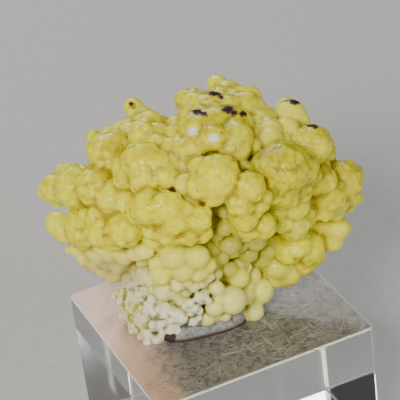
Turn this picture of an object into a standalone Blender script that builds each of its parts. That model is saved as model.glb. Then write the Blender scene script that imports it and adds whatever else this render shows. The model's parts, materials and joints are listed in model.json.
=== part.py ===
"""Hyalite opal cluster on its slip of matrix, standing on a clear acrylic block.

The cluster grew as one piece: rounded lobes crowd over a narrow sugary root, so it is one solid.
The matrix slip and the acrylic block are separate solids. Lengths in the tables are millimetres.
"""
from math import asin, copysign, cos, pi, radians, sin, sqrt
from random import Random

import bmesh
import bpy
from mathutils import Matrix, Vector

MM = 0.001

# Acrylic block
BLOCK_WIDTH = 38.1
BLOCK_DEPTH = 37.0
BLOCK_HEIGHT = 25.4
BLOCK_CORNER = 0.8
BLOCK_EDGE = 0.3

# Gap between touching pieces
GAP = 0.3

# Matrix slip: centre and half sizes on the block, in the specimen's own axes
SLIP_CENTRE = (-3.2, -0.4)
SLIP_HALF = (7.4, 6.8)
SLIP_TURN = radians(10.0)
SLIP_SQUARE = 0.42
SLIP_HEIGHT = 2.4
SLIP_RIM = 0.6
SLIP_LEAN = 0.6
SLIP_UNDERCUT = 0.2
SLIP_POINTS = 48

# The specimen is turned on the block, and its best side is seen a little from above.
SHOW_TURN = radians(21.24)
SHOW_TILT = radians(31.40)
SHOW_LEAN = radians(-7.54)
SHOW_DISTANCE = 316.0
SHOW_POINT = Vector((4.57, 12.79, 38.67))

# Shells that the lobe centres follow: centre in the specimen's axes, then half sizes
CROWN_CENTRE = (0.3, 4.0, 23.2)
CROWN_HALF = (22.5, 14.0, 13.0)
ROOT_CENTRE = (-4.0, 0.3, 5.0)
ROOT_HALF = (9.5, 7.2, 14.0)
HEART = (-0.5, 2.5, 17.0)
CROWN_CORE = (14.0, 10.6, 9.6)
ROOT_CORE = (7.4, 5.0, 12.0)
LOWEST_KNOB = 0.7
STEM_REACH = 0.5
STEM_START = 0.85
STEM_END = 0.9
STEM_SIDES = 10
BIG_KNOB = 2.4
LIMB_POWER = 0.7
LIMB_FALL = 0.5

# Lobes of the best side, each row one knob: across, rise, proud of the shell, radius
FRONT_LOBES = {
    "left_arm": [
        (-20.6, 2.2, 0.0, 3.8), (-23.4, 1.8, 0.0, 2.9), (-25.4, 1.5, 0.0, 1.6),
        (-17.4, 2.1, 0.0, 3.3), (-14.6, 0.5, -0.5, 2.9), (-22.3, 4.5, 0.0, 1.7),
        (-20.1, 4.4, 0.0, 1.8), (-24.5, 3.2, 0.3, 1.25), (-26.0, 2.2, 0.2, 0.95),
        (-25.9, 0.9, 0.2, 1.0), (-18.4, 3.9, 0.0, 1.7), (-23.0, 0.8, 1.5, 1.6),
        (-24.9, 0.5, 0.6, 1.2), (-21.6, 0.8, 2.2, 1.7),
    ],
    "lower_left": [
        (-23.7, -4.0, -2.0, 2.25), (-22.3, -5.1, -2.0, 2.3), (-19.6, -4.6, 0.0, 3.3),
        (-16.0, -4.9, 0.8, 3.4), (-12.5, -4.9, 1.2, 3.1), (-19.6, -6.3, -0.5, 2.3),
        (-14.4, -6.0, 1.0, 2.6), (-17.4, -2.6, 1.4, 1.5), (-19.3, -2.4, 1.2, 1.2),
        (-11.3, -5.2, 1.8, 1.9), (-16.9, -9.2, 0.2, 1.7), (-12.6, -9.3, 1.6, 2.0),
        (-9.2, -8.2, 2.2, 1.9), (-15.0, -8.6, 0.4, 2.6), (-20.6, -8.2, -1.4, 1.4),
        (-21.7, -8.3, -2.0, 0.75), (-19.3, -9.6, -1.0, 1.5), (-17.5, -11.0, -0.8, 1.7),
        (-15.8, -11.9, -0.6, 1.6), (-14.4, -12.6, -0.6, 1.4), (-12.4, -12.4, 0.2, 1.6),
        (-13.6, -10.6, 0.6, 2.0), (-11.4, -10.8, 1.0, 1.7), (-18.6, -10.9, -1.4, 1.0),
        (-17.2, -12.0, -1.4, 0.8),
    ],
    "upper_left": [
        (-15.9, 8.2, 0.5, 3.1), (-17.8, 10.4, 0.0, 1.35), (-15.2, 11.1, 0.0, 1.3),
        (-13.4, 11.9, -0.5, 1.15), (-12.2, 12.7, -0.8, 1.1), (-14.3, 9.6, 0.2, 2.3),
        (-12.0, 11.5, -0.4, 1.6), (-9.4, 10.6, 0.4, 2.7), (-9.7, 6.2, 1.8, 3.6),
        (-12.7, 5.4, 1.0, 2.1), (-12.3, 3.9, 0.2, 2.3), (-7.2, 5.7, 1.5, 2.6),
        (-6.0, 3.9, 1.0, 2.4), (-9.0, 3.6, 1.6, 2.9), (-17.2, 6.6, -0.2, 1.5),
        (-11.3, 15.5, -1.5, 1.45), (-10.5, 14.7, -1.4, 1.3), (-9.5, 13.8, -1.2, 1.7),
        (-8.4, 12.7, -0.8, 2.4),
        (-7.2, 10.8, -0.2, 2.3), (-16.0, 5.8, -0.6, 1.6), (-18.2, 8.7, 0.0, 0.9),
        (-6.6, 8.2, 0.4, 1.9),
    ],
    "crown": [
        (-4.25, 12.7, -0.6, 1.4), (-4.2, 10.9, -0.2, 1.7), (-2.4, 16.6, -0.4, 2.05),
        (-0.7, 16.8, 0.0, 1.9), (0.8, 16.6, 0.0, 1.8), (2.3, 15.8, 0.5, 2.4),
        (5.0, 15.6, 0.8, 2.1), (-0.8, 12.1, 2.0, 3.0), (0.3, 13.8, 1.8, 1.6),
        (2.3, 12.6, 1.8, 2.9), (2.25, 10.4, 3.2, 2.4), (4.6, 13.1, 2.2, 2.5),
        (6.7, 12.5, 1.8, 2.2), (6.4, 10.2, 2.4, 2.4), (5.0, 8.2, 1.4, 1.6),
        (-0.8, 8.9, 1.6, 2.1), (0.6, 8.4, 1.8, 1.3), (-3.1, 8.9, 1.2, 2.2),
        (-1.8, 14.2, 0.8, 1.6), (-4.9, 8.4, 1.0, 2.0), (-4.8, 5.8, 1.2, 1.9),
        (-2.4, 7.9, 1.4, 1.7), (6.8, 7.9, 1.4, 1.6), (8.7, 8.9, 1.0, 1.7),
        (8.6, 11.0, 0.8, 1.6),
    ],
    "back_top": [
        (2.85, 18.95, -2.5, 1.85), (5.0, 17.9, -2.2, 1.8), (7.0, 17.2, -1.8, 1.9),
        (8.7, 16.8, -1.8, 1.6), (9.2, 15.0, -1.4, 1.8), (7.6, 15.8, -1.0, 2.4),
        (11.3, 14.0, -1.2, 1.4), (9.3, 12.4, -0.2, 1.7), (9.4, 10.0, 0.4, 1.0),
        (10.3, 13.2, -1.0, 1.6),
    ],
    "right_back": [
        (15.0, 14.0, -0.4, 2.9), (14.3, 15.5, -0.4, 1.45), (16.1, 14.7, -0.4, 1.35),
        (11.75, 11.5, 0.6, 2.0), (11.7, 9.8, 0.6, 2.0), (14.4, 11.7, 0.2, 2.3),
        (16.9, 12.9, -0.6, 1.3),
    ],
    "right_shoulder": [
        (18.7, 9.2, 0.8, 3.5), (20.4, 10.9, 0.0, 1.3), (21.4, 9.3, 0.0, 1.25),
        (21.7, 7.8, 0.0, 1.1), (16.6, 10.2, 0.8, 1.9), (18.9, 11.6, -0.6, 1.2),
        (20.5, 5.6, -1.2, 1.5),
    ],
    "far_right": [
        (23.9, 3.3, 0.0, 3.4), (25.9, 4.2, -0.2, 1.6), (25.0, 0.8, 0.2, 2.1),
        (21.4, 1.0, 0.8, 3.0), (22.9, -0.4, 0.8, 2.0), (20.6, 3.4, 0.0, 2.4),
        (20.6, -1.6, 0.2, 2.2), (22.6, -1.8, -0.4, 1.8), (24.6, -1.0, -0.8, 1.2),
        (22.8, -4.7, -1.4, 2.2), (22.0, -6.6, -1.8, 2.1), (25.2, -3.3, -2.4, 0.65),
        (24.4, -3.3, -1.8, 1.1),
    ],
    "big_right": [
        (14.0, 5.8, 2.6, 4.1), (13.4, 7.7, 2.4, 2.1), (16.8, 5.6, 2.0, 3.1),
        (10.9, 5.9, 1.8, 2.5), (16.2, 7.4, 1.8, 1.7), (18.1, 4.0, 1.6, 1.8),
        (14.6, 0.6, 2.0, 1.9), (12.4, 0.6, 1.8, 1.8), (17.1, 0.8, 1.4, 1.6),
        (13.0, 3.6, 3.2, 1.9), (15.8, 3.8, 3.2, 1.9), (14.7, -3.6, 0.4, 2.1),
        (16.4, -3.3, 0.2, 2.0), (18.4, -5.0, -1.2, 1.3), (13.0, -1.2, 0.4, 1.8),
        (18.2, -1.6, -0.6, 1.7),
    ],
    "front_right": [
        (8.3, 2.2, 3.4, 2.75), (6.6, -0.8, 3.8, 2.15), (10.4, 0.3, 3.2, 1.7),
        (7.4, -2.9, 3.2, 2.5), (10.4, -4.3, 3.4, 2.5), (8.1, -4.6, 2.6, 2.3),
        (9.3, -0.7, 3.0, 2.1), (7.2, 6.0, 0.6, 0.9), (8.6, 5.7, 0.6, 0.9),
    ],
    "front_middle": [
        (2.9, 3.9, 2.6, 3.9), (-2.4, 2.6, 1.8, 1.9), (-2.9, 6.0, 0.8, 1.4),
        (-1.4, 6.4, 0.8, 1.3), (0.1, 5.4, 2.0, 2.1), (4.5, 5.4, 2.0, 2.0),
        (2.3, 0.9, 2.4, 2.2), (-0.2, 2.2, 2.4, 2.3),
    ],
    "front_left": [
        (-8.5, -1.2, 3.4, 3.1), (-5.6, -1.4, 3.6, 3.0), (-2.9, -1.8, 3.0, 1.8),
        (-4.3, -3.2, 3.8, 2.7), (-0.3, -3.1, 3.0, 2.3), (0.2, -5.3, 2.6, 2.0),
        (-2.2, -5.2, 3.0, 2.5), (-7.8, -4.7, 2.8, 2.1), (-5.0, -5.2, 3.2, 2.7),
        (-8.0, -6.6, 1.2, 1.6), (-10.2, -2.2, 2.2, 2.2),
    ],
    "low_right": [
        (14.7, -8.4, 1.2, 2.4), (18.1, -8.0, 0.8, 2.8), (16.4, -7.6, 1.6, 2.3),
        (12.8, -10.8, 0.2, 2.4), (14.6, -11.8, 0.0, 2.6), (13.1, -12.9, -0.4, 1.9),
        (17.2, -10.4, 0.2, 2.3), (19.0, -9.4, 0.2, 1.9),
    ],
    "low_middle": [
        (-4.3, -9.3, 4.2, 2.3), (-0.4, -9.4, 4.2, 2.1), (-6.9, -10.6, 3.6, 1.75),
        (1.4, -10.8, 3.2, 1.35), (1.2, -12.7, 2.4, 1.2), (-9.3, -12.5, 2.2, 1.6),
        (-6.4, -12.2, 3.0, 2.1), (-2.8, -11.4, 3.4, 2.2), (-8.0, -13.4, 1.8, 1.3),
        (-0.2, -11.8, 3.0, 1.8), (-6.3, -15.3, 2.4, 1.5), (-4.9, -15.1, 2.4, 1.5),
        (-1.1, -14.2, 2.4, 1.25), (-3.6, -13.8, 2.6, 1.4), (-3.2, -16.5, 2.0, 1.2),
        (-2.4, -15.3, 1.6, 1.2), (0.2, -13.6, 1.8, 1.1),
    ],
    "recess": [
        (3.9, -4.6, 0.0, 1.5), (5.4, -6.2, 0.2, 1.4), (4.3, -7.8, 0.8, 1.5),
        (5.8, -8.0, 0.6, 1.3), (3.3, -10.0, 1.4, 1.8), (3.0, -12.2, 1.2, 1.2),
        (9.2, -7.4, -0.4, 1.9), (9.0, -9.8, 0.4, 1.5), (4.0, -2.2, -1.0, 1.5),
        (2.6, -7.6, 0.0, 1.2), (7.6, -6.6, -0.2, 1.3), (11.2, -8.4, -0.6, 1.6),
    ],
    "pale_bulbs": [
        (6.3, -10.8, 1.8, 1.4), (8.8, -12.6, 2.0, 1.7), (9.8, -15.3, 2.8, 2.2),
        (5.8, -16.7, 3.4, 2.2), (6.0, -13.7, 2.2, 1.5), (2.8, -14.7, 2.0, 1.25),
        (2.0, -18.0, 2.2, 1.15), (4.0, -19.2, 2.2, 1.0), (1.9, -20.0, 1.4, 1.2),
        (5.8, -19.3, 1.4, 1.0), (9.4, -18.4, 1.0, 1.7), (4.2, -16.4, 2.8, 1.6),
        (7.5, -18.2, 1.2, 1.6), (7.4, -15.8, 2.8, 1.6),
    ],
    "root": [
        (-13.6, -15.8, 0.0, 1.2), (-12.2, -16.2, 1.0, 1.6), (-10.8, -17.6, 1.4, 1.8),
        (-9.0, -15.4, 0.8, 1.3), (-11.8, -18.8, 1.2, 1.6), (-9.2, -19.6, 1.8, 2.0),
        (-7.4, -18.0, 2.0, 1.8), (-5.4, -18.2, 2.4, 1.8), (-6.6, -20.2, 2.0, 1.8),
        (-3.4, -19.0, 2.4, 1.8), (-1.3, -17.6, 2.2, 1.5), (-1.0, -19.4, 1.8, 1.4),
        (-4.6, -20.9, 1.8, 1.3), (-8.4, -22.2, 1.2, 1.6), (-10.2, -21.0, 1.0, 1.4),
        (-7.6, -16.8, 1.6, 1.2), (0.4, -16.2, 2.4, 1.2), (-11.6, -14.4, 0.0, 1.4),
        (-6.4, -22.4, 1.2, 1.2),
    ],
}

# Lobes of the other sides, each row one lobe on the crown's shell:
# degrees round from the front, degrees up, radius of its main knob
BACK_LOBES = [
    (118, 58, 3.0), (172, 68, 3.6), (236, 60, 3.2), (126, 32, 3.7), (154, 46, 3.4),
    (190, 40, 4.1), (224, 36, 3.6), (104, 4, 3.4), (133, 6, 4.0), (164, 12, 4.4),
    (196, 4, 3.8), (226, 8, 4.2), (254, 12, 3.4), (108, -26, 3.1), (134, -26, 3.4),
    (163, -22, 3.8), (194, -28, 3.5), (223, -24, 3.7), (252, -24, 3.1), (146, -52, 2.9),
    (182, -54, 3.0), (218, -54, 3.0),
]
BACK_PROUD = (-0.6, 1.2)
BACK_KNOBS = 9
BACK_KNOB_SIZE = (0.42, 0.64)
BACK_KNOB_TIP = (0.3, 1.4)
BACK_KNOB_SUNK = 0.3
TURN_STEP = radians(137.5)
FILLERS = 96
FILLER_SHARE = (0.81, 0.89)
FILLER_RADIUS = (1.7, 2.6)
OUTLINE_POINTS = 12
PULL_IN = 0.05
MOST_PULLS = 14

# Bulbs round the hidden sides of the root: height, how many, radius
BACK_ROOT_RINGS = [(1.8, 9, 1.9), (4.8, 9, 2.0), (8.2, 10, 2.2)]
BACK_ROOT_ARC = (75.0, 290.0)
BACK_ROOT_SUNK = 0.8
BACK_ROOT_SIZE = (0.8, 1.15)
BACK_ROOT_DRIFT = 0.5

FUSE_VOXEL = 0.7
KEPT_SHARE = 0.17

# Cutter below the cluster
FLOOR_SIZE = 90.0
FLOOR_DEPTH = 12.0
SEAT_DEPTH = 2.0

FRONT_ROWS = [row for rows in FRONT_LOBES.values() for row in rows]

# ---------------------------------------------------------------- axes

FORWARD = Vector((sin(SHOW_TURN) * cos(SHOW_TILT), cos(SHOW_TURN) * cos(SHOW_TILT), -sin(SHOW_TILT)))
SIDE = Vector((cos(SHOW_TURN), -sin(SHOW_TURN), 0.0))
BACK = Vector((sin(SHOW_TURN), cos(SHOW_TURN), 0.0))
LEVEL_UP = SIDE.cross(FORWARD)
ACROSS = SIDE * cos(SHOW_LEAN) + LEVEL_UP * sin(SHOW_LEAN)
RISE = LEVEL_UP * cos(SHOW_LEAN) - SIDE * sin(SHOW_LEAN)
TOWARD = -FORWARD


def on_block(side, back, height):
    """A place in the specimen's axes, measured from the middle of the block's top."""
    return SIDE * side + BACK * back + Vector((0.0, 0.0, BLOCK_HEIGHT + height))


def shell_depth(across, rise):
    """How far toward the viewer the shells lie on this line of sight, falling back past their limbs."""
    start = SHOW_POINT + ACROSS * across + RISE * rise
    found = []
    for centre, half in ((CROWN_CENTRE, CROWN_HALF), (ROOT_CENTRE, ROOT_HALF)):
        offset = start - on_block(*centre)
        o = Vector((offset.dot(SIDE) / half[0], offset.dot(BACK) / half[1], offset.z / half[2]))
        d = Vector((TOWARD.dot(SIDE) / half[0], TOWARD.dot(BACK) / half[1], TOWARD.z / half[2]))
        square = d.dot(d)
        middle = -o.dot(d) / square
        share = 1.0 - (o.dot(o) - middle ** 2 * square)
        swell = share ** LIMB_POWER if share > 0.0 else LIMB_FALL * share
        found.append((share > 0.0, middle + swell / sqrt(square), share))
    hits = [depth for hit, depth, share in found if hit]
    return max(hits) if hits else max(found, key=lambda item: item[2])[1]


def front_knob(across, rise, proud, radius):
    """Centre and radius of one knob of the best side."""
    toward = shell_depth(across, rise) + proud
    scale = 1.0 - toward / SHOW_DISTANCE
    centre = SHOW_POINT + (ACROSS * across + RISE * rise) * scale + TOWARD * toward
    lift = BLOCK_HEIGHT + LOWEST_KNOB - centre.z
    if lift > 0.0:
        centre += TOWARD * (lift / TOWARD.z)
    return centre, radius * scale


def on_crown(turn, lift, share=1.0):
    """A place on the crown's shell, and the way out from it."""
    way = (sin(turn) * cos(lift), -cos(turn) * cos(lift), sin(lift))
    place = on_block(*(c + share * h * w for c, h, w in zip(CROWN_CENTRE, CROWN_HALF, way)))
    slope = [w / h for w, h in zip(way, CROWN_HALF)]
    out = SIDE * slope[0] + BACK * slope[1] + Vector((0.0, 0.0, slope[2]))
    return place, out.normalized()


def is_hidden(centre, radius):
    """Whether the best side's knobs cover this one, so that their outline stays as it is."""
    offset = centre - SHOW_POINT
    scale = 1.0 - offset.dot(TOWARD) / SHOW_DISTANCE
    across, rise, reach = offset.dot(ACROSS) / scale, offset.dot(RISE) / scale, radius / scale
    for k in range(OUTLINE_POINTS):
        turn = 2.0 * pi * k / OUTLINE_POINTS
        x, y = across + reach * cos(turn), rise + reach * sin(turn)
        if not any((x - row[0]) ** 2 + (y - row[1]) ** 2 < row[3] ** 2 for row in FRONT_ROWS):
            return False
    return True


def pulled_in(knobs):
    """The knobs, each brought toward the heart until the best side hides it, without any still in sight."""
    heart = on_block(*HEART)
    kept = []
    for centre, radius in knobs:
        for _ in range(MOST_PULLS):
            if is_hidden(centre, radius):
                kept.append((centre, radius))
                break
            centre = centre.lerp(heart, PULL_IN)
    return kept


def back_knobs():
    """Each lobe of the other sides: a main knob and smaller ones spiralling round it."""
    rng = Random(11)
    knobs = []
    for turn, lift, radius in BACK_LOBES:
        place, out = on_crown(radians(turn), radians(lift))
        main_knob = pulled_in([(place + out * rng.uniform(*BACK_PROUD), radius)])
        knobs += main_knob
        aside = out.orthogonal().normalized()
        start = rng.uniform(0.0, 2.0 * pi)
        for k in range(BACK_KNOBS):
            share = (k + 0.5) / BACK_KNOBS
            tip = BACK_KNOB_TIP[0] + (BACK_KNOB_TIP[1] - BACK_KNOB_TIP[0]) * share
            way = Matrix.Rotation(start + k * TURN_STEP, 3, out) @ aside
            small = radius * rng.uniform(*BACK_KNOB_SIZE)
            for centre, _ in main_knob:
                far = radius - BACK_KNOB_SUNK * small
                knobs += pulled_in([(centre + (out * cos(tip) + way * sin(tip)) * far, small)])
    return knobs


def filler_knobs():
    """Smaller knobs spread evenly a little under the crown's shell, between the lobes."""
    rng = Random(23)
    knobs = []
    for k in range(FILLERS):
        lift = asin(2.0 * (k + 0.5) / FILLERS - 1.0)
        place, _ = on_crown(k * TURN_STEP, lift, rng.uniform(*FILLER_SHARE))
        knobs.append((place, rng.uniform(*FILLER_RADIUS)))
    return pulled_in(knobs)


def back_root_knobs():
    """Bulbs round the hidden sides of the root."""
    rng = Random(5)
    knobs = []
    first, last = (radians(a) for a in BACK_ROOT_ARC)
    for row, (height, count, radius) in enumerate(BACK_ROOT_RINGS):
        for k in range(count):
            turn = first + (last - first) * (k + 0.5 * (row % 2)) / count
            side = ROOT_CENTRE[0] + (ROOT_HALF[0] - BACK_ROOT_SUNK) * sin(turn)
            back = ROOT_CENTRE[1] - (ROOT_HALF[1] - BACK_ROOT_SUNK) * cos(turn)
            size = radius * rng.uniform(*BACK_ROOT_SIZE)
            drift = rng.uniform(-BACK_ROOT_DRIFT, BACK_ROOT_DRIFT)
            knobs.append((on_block(side, back, height + drift), size))
    return knobs


# ---------------------------------------------------------------- mesh helpers


def new_object(name, bm):
    """An object from a bmesh in millimetres."""
    bmesh.ops.scale(bm, vec=(MM, MM, MM), verts=bm.verts)
    mesh = bpy.data.meshes.new(name)
    bm.to_mesh(mesh)
    bm.free()
    obj = bpy.data.objects.new(name, mesh)
    bpy.context.scene.collection.objects.link(obj)
    return obj


def add_ball(bm, centre, radius, fine):
    """One knob."""
    bmesh.ops.create_icosphere(bm, subdivisions=fine, radius=radius, matrix=Matrix.Translation(centre))


def add_egg(bm, centre, half):
    """An egg on the specimen's axes."""
    turned = Matrix((SIDE, BACK, Vector((0, 0, 1)))).transposed().to_4x4()
    matrix = Matrix.Translation(on_block(*centre)) @ turned @ Matrix.Diagonal((*half, 1.0))
    bmesh.ops.create_icosphere(bm, subdivisions=3, radius=1.0, matrix=matrix)


def add_stem(bm, start, end, start_radius, end_radius):
    """A tapered stem that ties a lobe to the heart of the cluster."""
    axis = end - start
    turned = axis.to_track_quat("Z", "Y").to_matrix().to_4x4()
    bmesh.ops.create_cone(
        bm, cap_ends=True, segments=STEM_SIDES, radius1=start_radius, radius2=end_radius,
        depth=axis.length, matrix=Matrix.Translation((start + end) / 2.0) @ turned,
    )


def fused(cluster):
    """Fuses the cluster's overlapping shapes into one skin, without the closed bubbles left inside it."""
    fuse = cluster.modifiers.new("fuse", "REMESH")
    fuse.mode = "VOXEL"
    fuse.voxel_size = FUSE_VOXEL * MM
    graph = bpy.context.evaluated_depsgraph_get()
    skin = bpy.data.meshes.new_from_object(cluster.evaluated_get(graph))
    cluster.modifiers.clear()
    bm = bmesh.new()
    bm.from_mesh(skin)
    bodies = []
    left = set(bm.verts)
    while left:
        body = {left.pop()}
        edge = list(body)
        while edge:
            near = {e.other_vert(v) for v in edge for e in v.link_edges}
            edge = list(near - body)
            body |= near
        left -= body
        bodies.append(body)
    bodies.sort(key=len)
    for body in bodies[:-1]:
        bmesh.ops.delete(bm, geom=list(body), context="VERTS")
    bm.to_mesh(skin)
    bm.free()
    cluster.data = skin


def material(name, colour, roughness, transmission=0.0):
    """A plain finish."""
    made = bpy.data.materials.new(name)
    made.use_nodes = True
    shader = made.node_tree.nodes["Principled BSDF"]
    shader.inputs["Base Color"].default_value = (*colour, 1.0)
    shader.inputs["Roughness"].default_value = roughness
    shader.inputs["Metallic"].default_value = 0.0
    shader.inputs["Transmission Weight"].default_value = transmission
    return made


# ---------------------------------------------------------------- pieces


def slip_outline(grow):
    """The matrix slip's edge: a rounded lozenge with a wavering rim."""
    points = []
    for k in range(SLIP_POINTS):
        turn = 2.0 * pi * k / SLIP_POINTS
        wave = 1.0 + 0.02 * sin(3.0 * turn + 0.6) + 0.012 * sin(7.0 * turn)
        x = (SLIP_HALF[0] * wave + grow) * copysign(abs(cos(turn)) ** SLIP_SQUARE, cos(turn))
        y = (SLIP_HALF[1] * wave + grow) * copysign(abs(sin(turn)) ** SLIP_SQUARE, sin(turn))
        side = SLIP_CENTRE[0] + x * cos(SLIP_TURN) - y * sin(SLIP_TURN)
        back = SLIP_CENTRE[1] + x * sin(SLIP_TURN) + y * cos(SLIP_TURN)
        points.append((side, back))
    return points


def add_slip(bm, levels):
    """The slip as a stack of rings, each a height and how far its edge is moved out."""
    rings = []
    for height, reach in levels:
        rings.append([bm.verts.new(on_block(*point, height)) for point in slip_outline(reach)])
    for low_ring, high_ring in zip(rings, rings[1:]):
        for k in range(SLIP_POINTS):
            j = (k + 1) % SLIP_POINTS
            bm.faces.new((low_ring[k], low_ring[j], high_ring[j], high_ring[k]))
    bm.faces.new(reversed(rings[0]))
    bm.faces.new(rings[-1])
    bmesh.ops.recalc_face_normals(bm, faces=bm.faces)


def make_block():
    bm = bmesh.new()
    middle = Vector((0.0, 0.0, BLOCK_HEIGHT / 2.0))
    size = Matrix.Diagonal((BLOCK_WIDTH, BLOCK_DEPTH, BLOCK_HEIGHT, 1.0))
    bmesh.ops.create_cube(bm, size=1.0, matrix=Matrix.Translation(middle) @ size)
    upright = [e for e in bm.edges if abs(e.verts[0].co.z - e.verts[1].co.z) > 1.0]
    bmesh.ops.bevel(bm, geom=upright, offset=BLOCK_CORNER, segments=4, profile=0.5, affect="EDGES")
    level = [e for e in bm.edges if abs(e.verts[0].co.z - e.verts[1].co.z) < 0.001]
    bmesh.ops.bevel(bm, geom=level, offset=BLOCK_EDGE, segments=2, profile=0.5, affect="EDGES")
    block = new_object("acrylic_block", bm)
    block.data.materials.append(material("clear_acrylic", (0.95, 0.96, 0.96), 0.05, 1.0))
    return block


def make_slip():
    bm = bmesh.new()
    add_slip(bm, [(GAP, -SLIP_UNDERCUT), (SLIP_RIM, 0.0), (SLIP_HEIGHT, -SLIP_LEAN)])
    slip = new_object("matrix_slip", bm)
    slip.data.materials.append(material("grey_matrix", (0.28, 0.30, 0.29), 0.8))
    return slip


def make_cutters():
    """What the cluster is cut away by, so that it sits on the slip and clears the block."""
    bm = bmesh.new()
    add_slip(bm, [(-SEAT_DEPTH, GAP), (SLIP_RIM, GAP), (SLIP_HEIGHT + GAP, GAP - SLIP_LEAN)])
    seat = new_object("seat_cutter", bm)
    bm = bmesh.new()
    below = Vector((0.0, 0.0, BLOCK_HEIGHT + GAP - FLOOR_DEPTH / 2.0))
    size = Matrix.Diagonal((FLOOR_SIZE, FLOOR_SIZE, FLOOR_DEPTH, 1.0))
    bmesh.ops.create_cube(bm, size=1.0, matrix=Matrix.Translation(below) @ size)
    floor = new_object("floor_cutter", bm)
    for cutter in (seat, floor):
        cutter.hide_render = True
        cutter.display_type = "WIRE"
    return seat, floor


def make_cluster(cutters):
    bm = bmesh.new()
    knobs = [front_knob(*row) for row in FRONT_ROWS] + back_knobs() + filler_knobs() + back_root_knobs()
    heart = on_block(*HEART)
    for centre, radius in knobs:
        add_ball(bm, centre, radius, 3 if radius > BIG_KNOB else 2)
        add_stem(bm, centre, centre.lerp(heart, STEM_REACH), STEM_START * radius, STEM_END * radius)
    add_egg(bm, CROWN_CENTRE, CROWN_CORE)
    add_egg(bm, ROOT_CENTRE, ROOT_CORE)
    cluster = new_object("opal_cluster", bm)
    fused(cluster)
    thin = cluster.modifiers.new("thin", "DECIMATE")
    thin.ratio = KEPT_SHARE
    for cutter in cutters:
        cut = cluster.modifiers.new("cut", "BOOLEAN")
        cut.operation = "DIFFERENCE"
        cut.solver = "EXACT"
        cut.object = cutter
    cluster.data.shade_smooth()
    cluster.data.materials.append(material("yellow_opal", (0.72, 0.66, 0.13), 0.35))
    return cluster


def main():
    for old in list(bpy.data.objects):
        bpy.data.objects.remove(old)
    make_block()
    make_slip()
    make_cluster(make_cutters())


main()
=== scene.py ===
import json
from math import asin, cos, dist, pi, radians, sin, sqrt
from random import Random

import bpy
import numpy as np
from bpy.props import FloatProperty, FloatVectorProperty, IntProperty, PointerProperty
from mathutils import Matrix, Vector

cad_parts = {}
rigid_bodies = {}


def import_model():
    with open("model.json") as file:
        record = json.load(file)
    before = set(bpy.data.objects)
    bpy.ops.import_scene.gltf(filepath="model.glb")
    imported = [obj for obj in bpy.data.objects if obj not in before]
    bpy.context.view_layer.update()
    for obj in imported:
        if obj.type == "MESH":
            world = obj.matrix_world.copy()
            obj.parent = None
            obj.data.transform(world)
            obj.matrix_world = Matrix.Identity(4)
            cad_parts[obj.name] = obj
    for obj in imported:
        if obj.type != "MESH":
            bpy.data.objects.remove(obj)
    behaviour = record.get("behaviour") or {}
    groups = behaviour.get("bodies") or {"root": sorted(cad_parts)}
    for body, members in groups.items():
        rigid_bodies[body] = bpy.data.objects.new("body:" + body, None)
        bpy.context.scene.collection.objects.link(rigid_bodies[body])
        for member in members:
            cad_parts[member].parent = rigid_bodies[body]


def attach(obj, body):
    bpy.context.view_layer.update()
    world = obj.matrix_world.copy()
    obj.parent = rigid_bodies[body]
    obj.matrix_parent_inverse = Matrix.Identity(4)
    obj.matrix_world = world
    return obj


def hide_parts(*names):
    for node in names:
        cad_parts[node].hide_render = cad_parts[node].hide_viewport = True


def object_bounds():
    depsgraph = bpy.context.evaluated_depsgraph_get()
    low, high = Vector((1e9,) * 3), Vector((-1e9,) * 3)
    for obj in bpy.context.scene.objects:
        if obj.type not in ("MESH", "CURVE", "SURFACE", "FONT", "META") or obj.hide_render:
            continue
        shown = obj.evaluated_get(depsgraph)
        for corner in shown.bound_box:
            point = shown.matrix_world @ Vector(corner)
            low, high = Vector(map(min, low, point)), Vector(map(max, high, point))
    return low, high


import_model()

bl_info = {
    "name": "Opal Specimen",
    "version": (1, 0, 0),
    "blender": (4, 5, 0),
    "location": "3D View > Sidebar > Specimen",
    "description": "Models a knobbly opal cluster on its slip of matrix and acrylic block",
    "category": "Add Mesh",
}

CAD_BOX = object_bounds()
MM = 0.001

# Seeds of the random draws
BACK_SEED, FILLER_SEED, BACK_ROOT_SEED, SKIN_SEED, BLOCK_SEED = 11, 23, 5, 7, 3

# ---- the specimen's sizes, in millimetres

BLOCK_WIDTH, BLOCK_DEPTH, BLOCK_HEIGHT = 38.1, 37.0, 25.4

# Matrix slip: centre and half sizes on the block, in the specimen's own axes, with the dark pocket at its end
SLIP_CENTRE = (-3.2, -0.4)
SLIP_HALF = (7.4, 6.8)
SLIP_TURN = radians(10.0)
SLIP_SQUARE = 0.42
SLIP_HEIGHT = 2.4
SLIP_RIM = 0.6
SLIP_LEAN = 0.6
SLIP_UNDERCUT = 0.2
SLIP_POINTS = 96
SLIP_LIFT = 0.03
SLIP_GRID = 0.22
POCKET_PLACE = (-8.2, -7.2, 1.2)
POCKET_SIZE = 0.9
POCKET_EDGE = 1.6

# How the cluster is seated: what is cut off below the block's top, and round the slip
SEAT_GAP = 0.03
SEAT_CUT = 90.0
SLIP_GAP = 0.05
SLIP_CUT = -3.0

# Block: rounded upright corners and fine bevels, then the chips along its front top edge
CORNER_ROUND = 0.8
EDGE_BEVEL = 0.16
BEVEL_ANGLE = radians(60.0)
CREASE_ANGLE = radians(32.0)
CHIP_MARGIN = 1
CHIP_SIZE = (0.05, 0.20)
CHIP_STRETCH = (0.7, 1.9)
CHIP_DRIFT = 0.12
CHIP_GRID = 0.06

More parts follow.
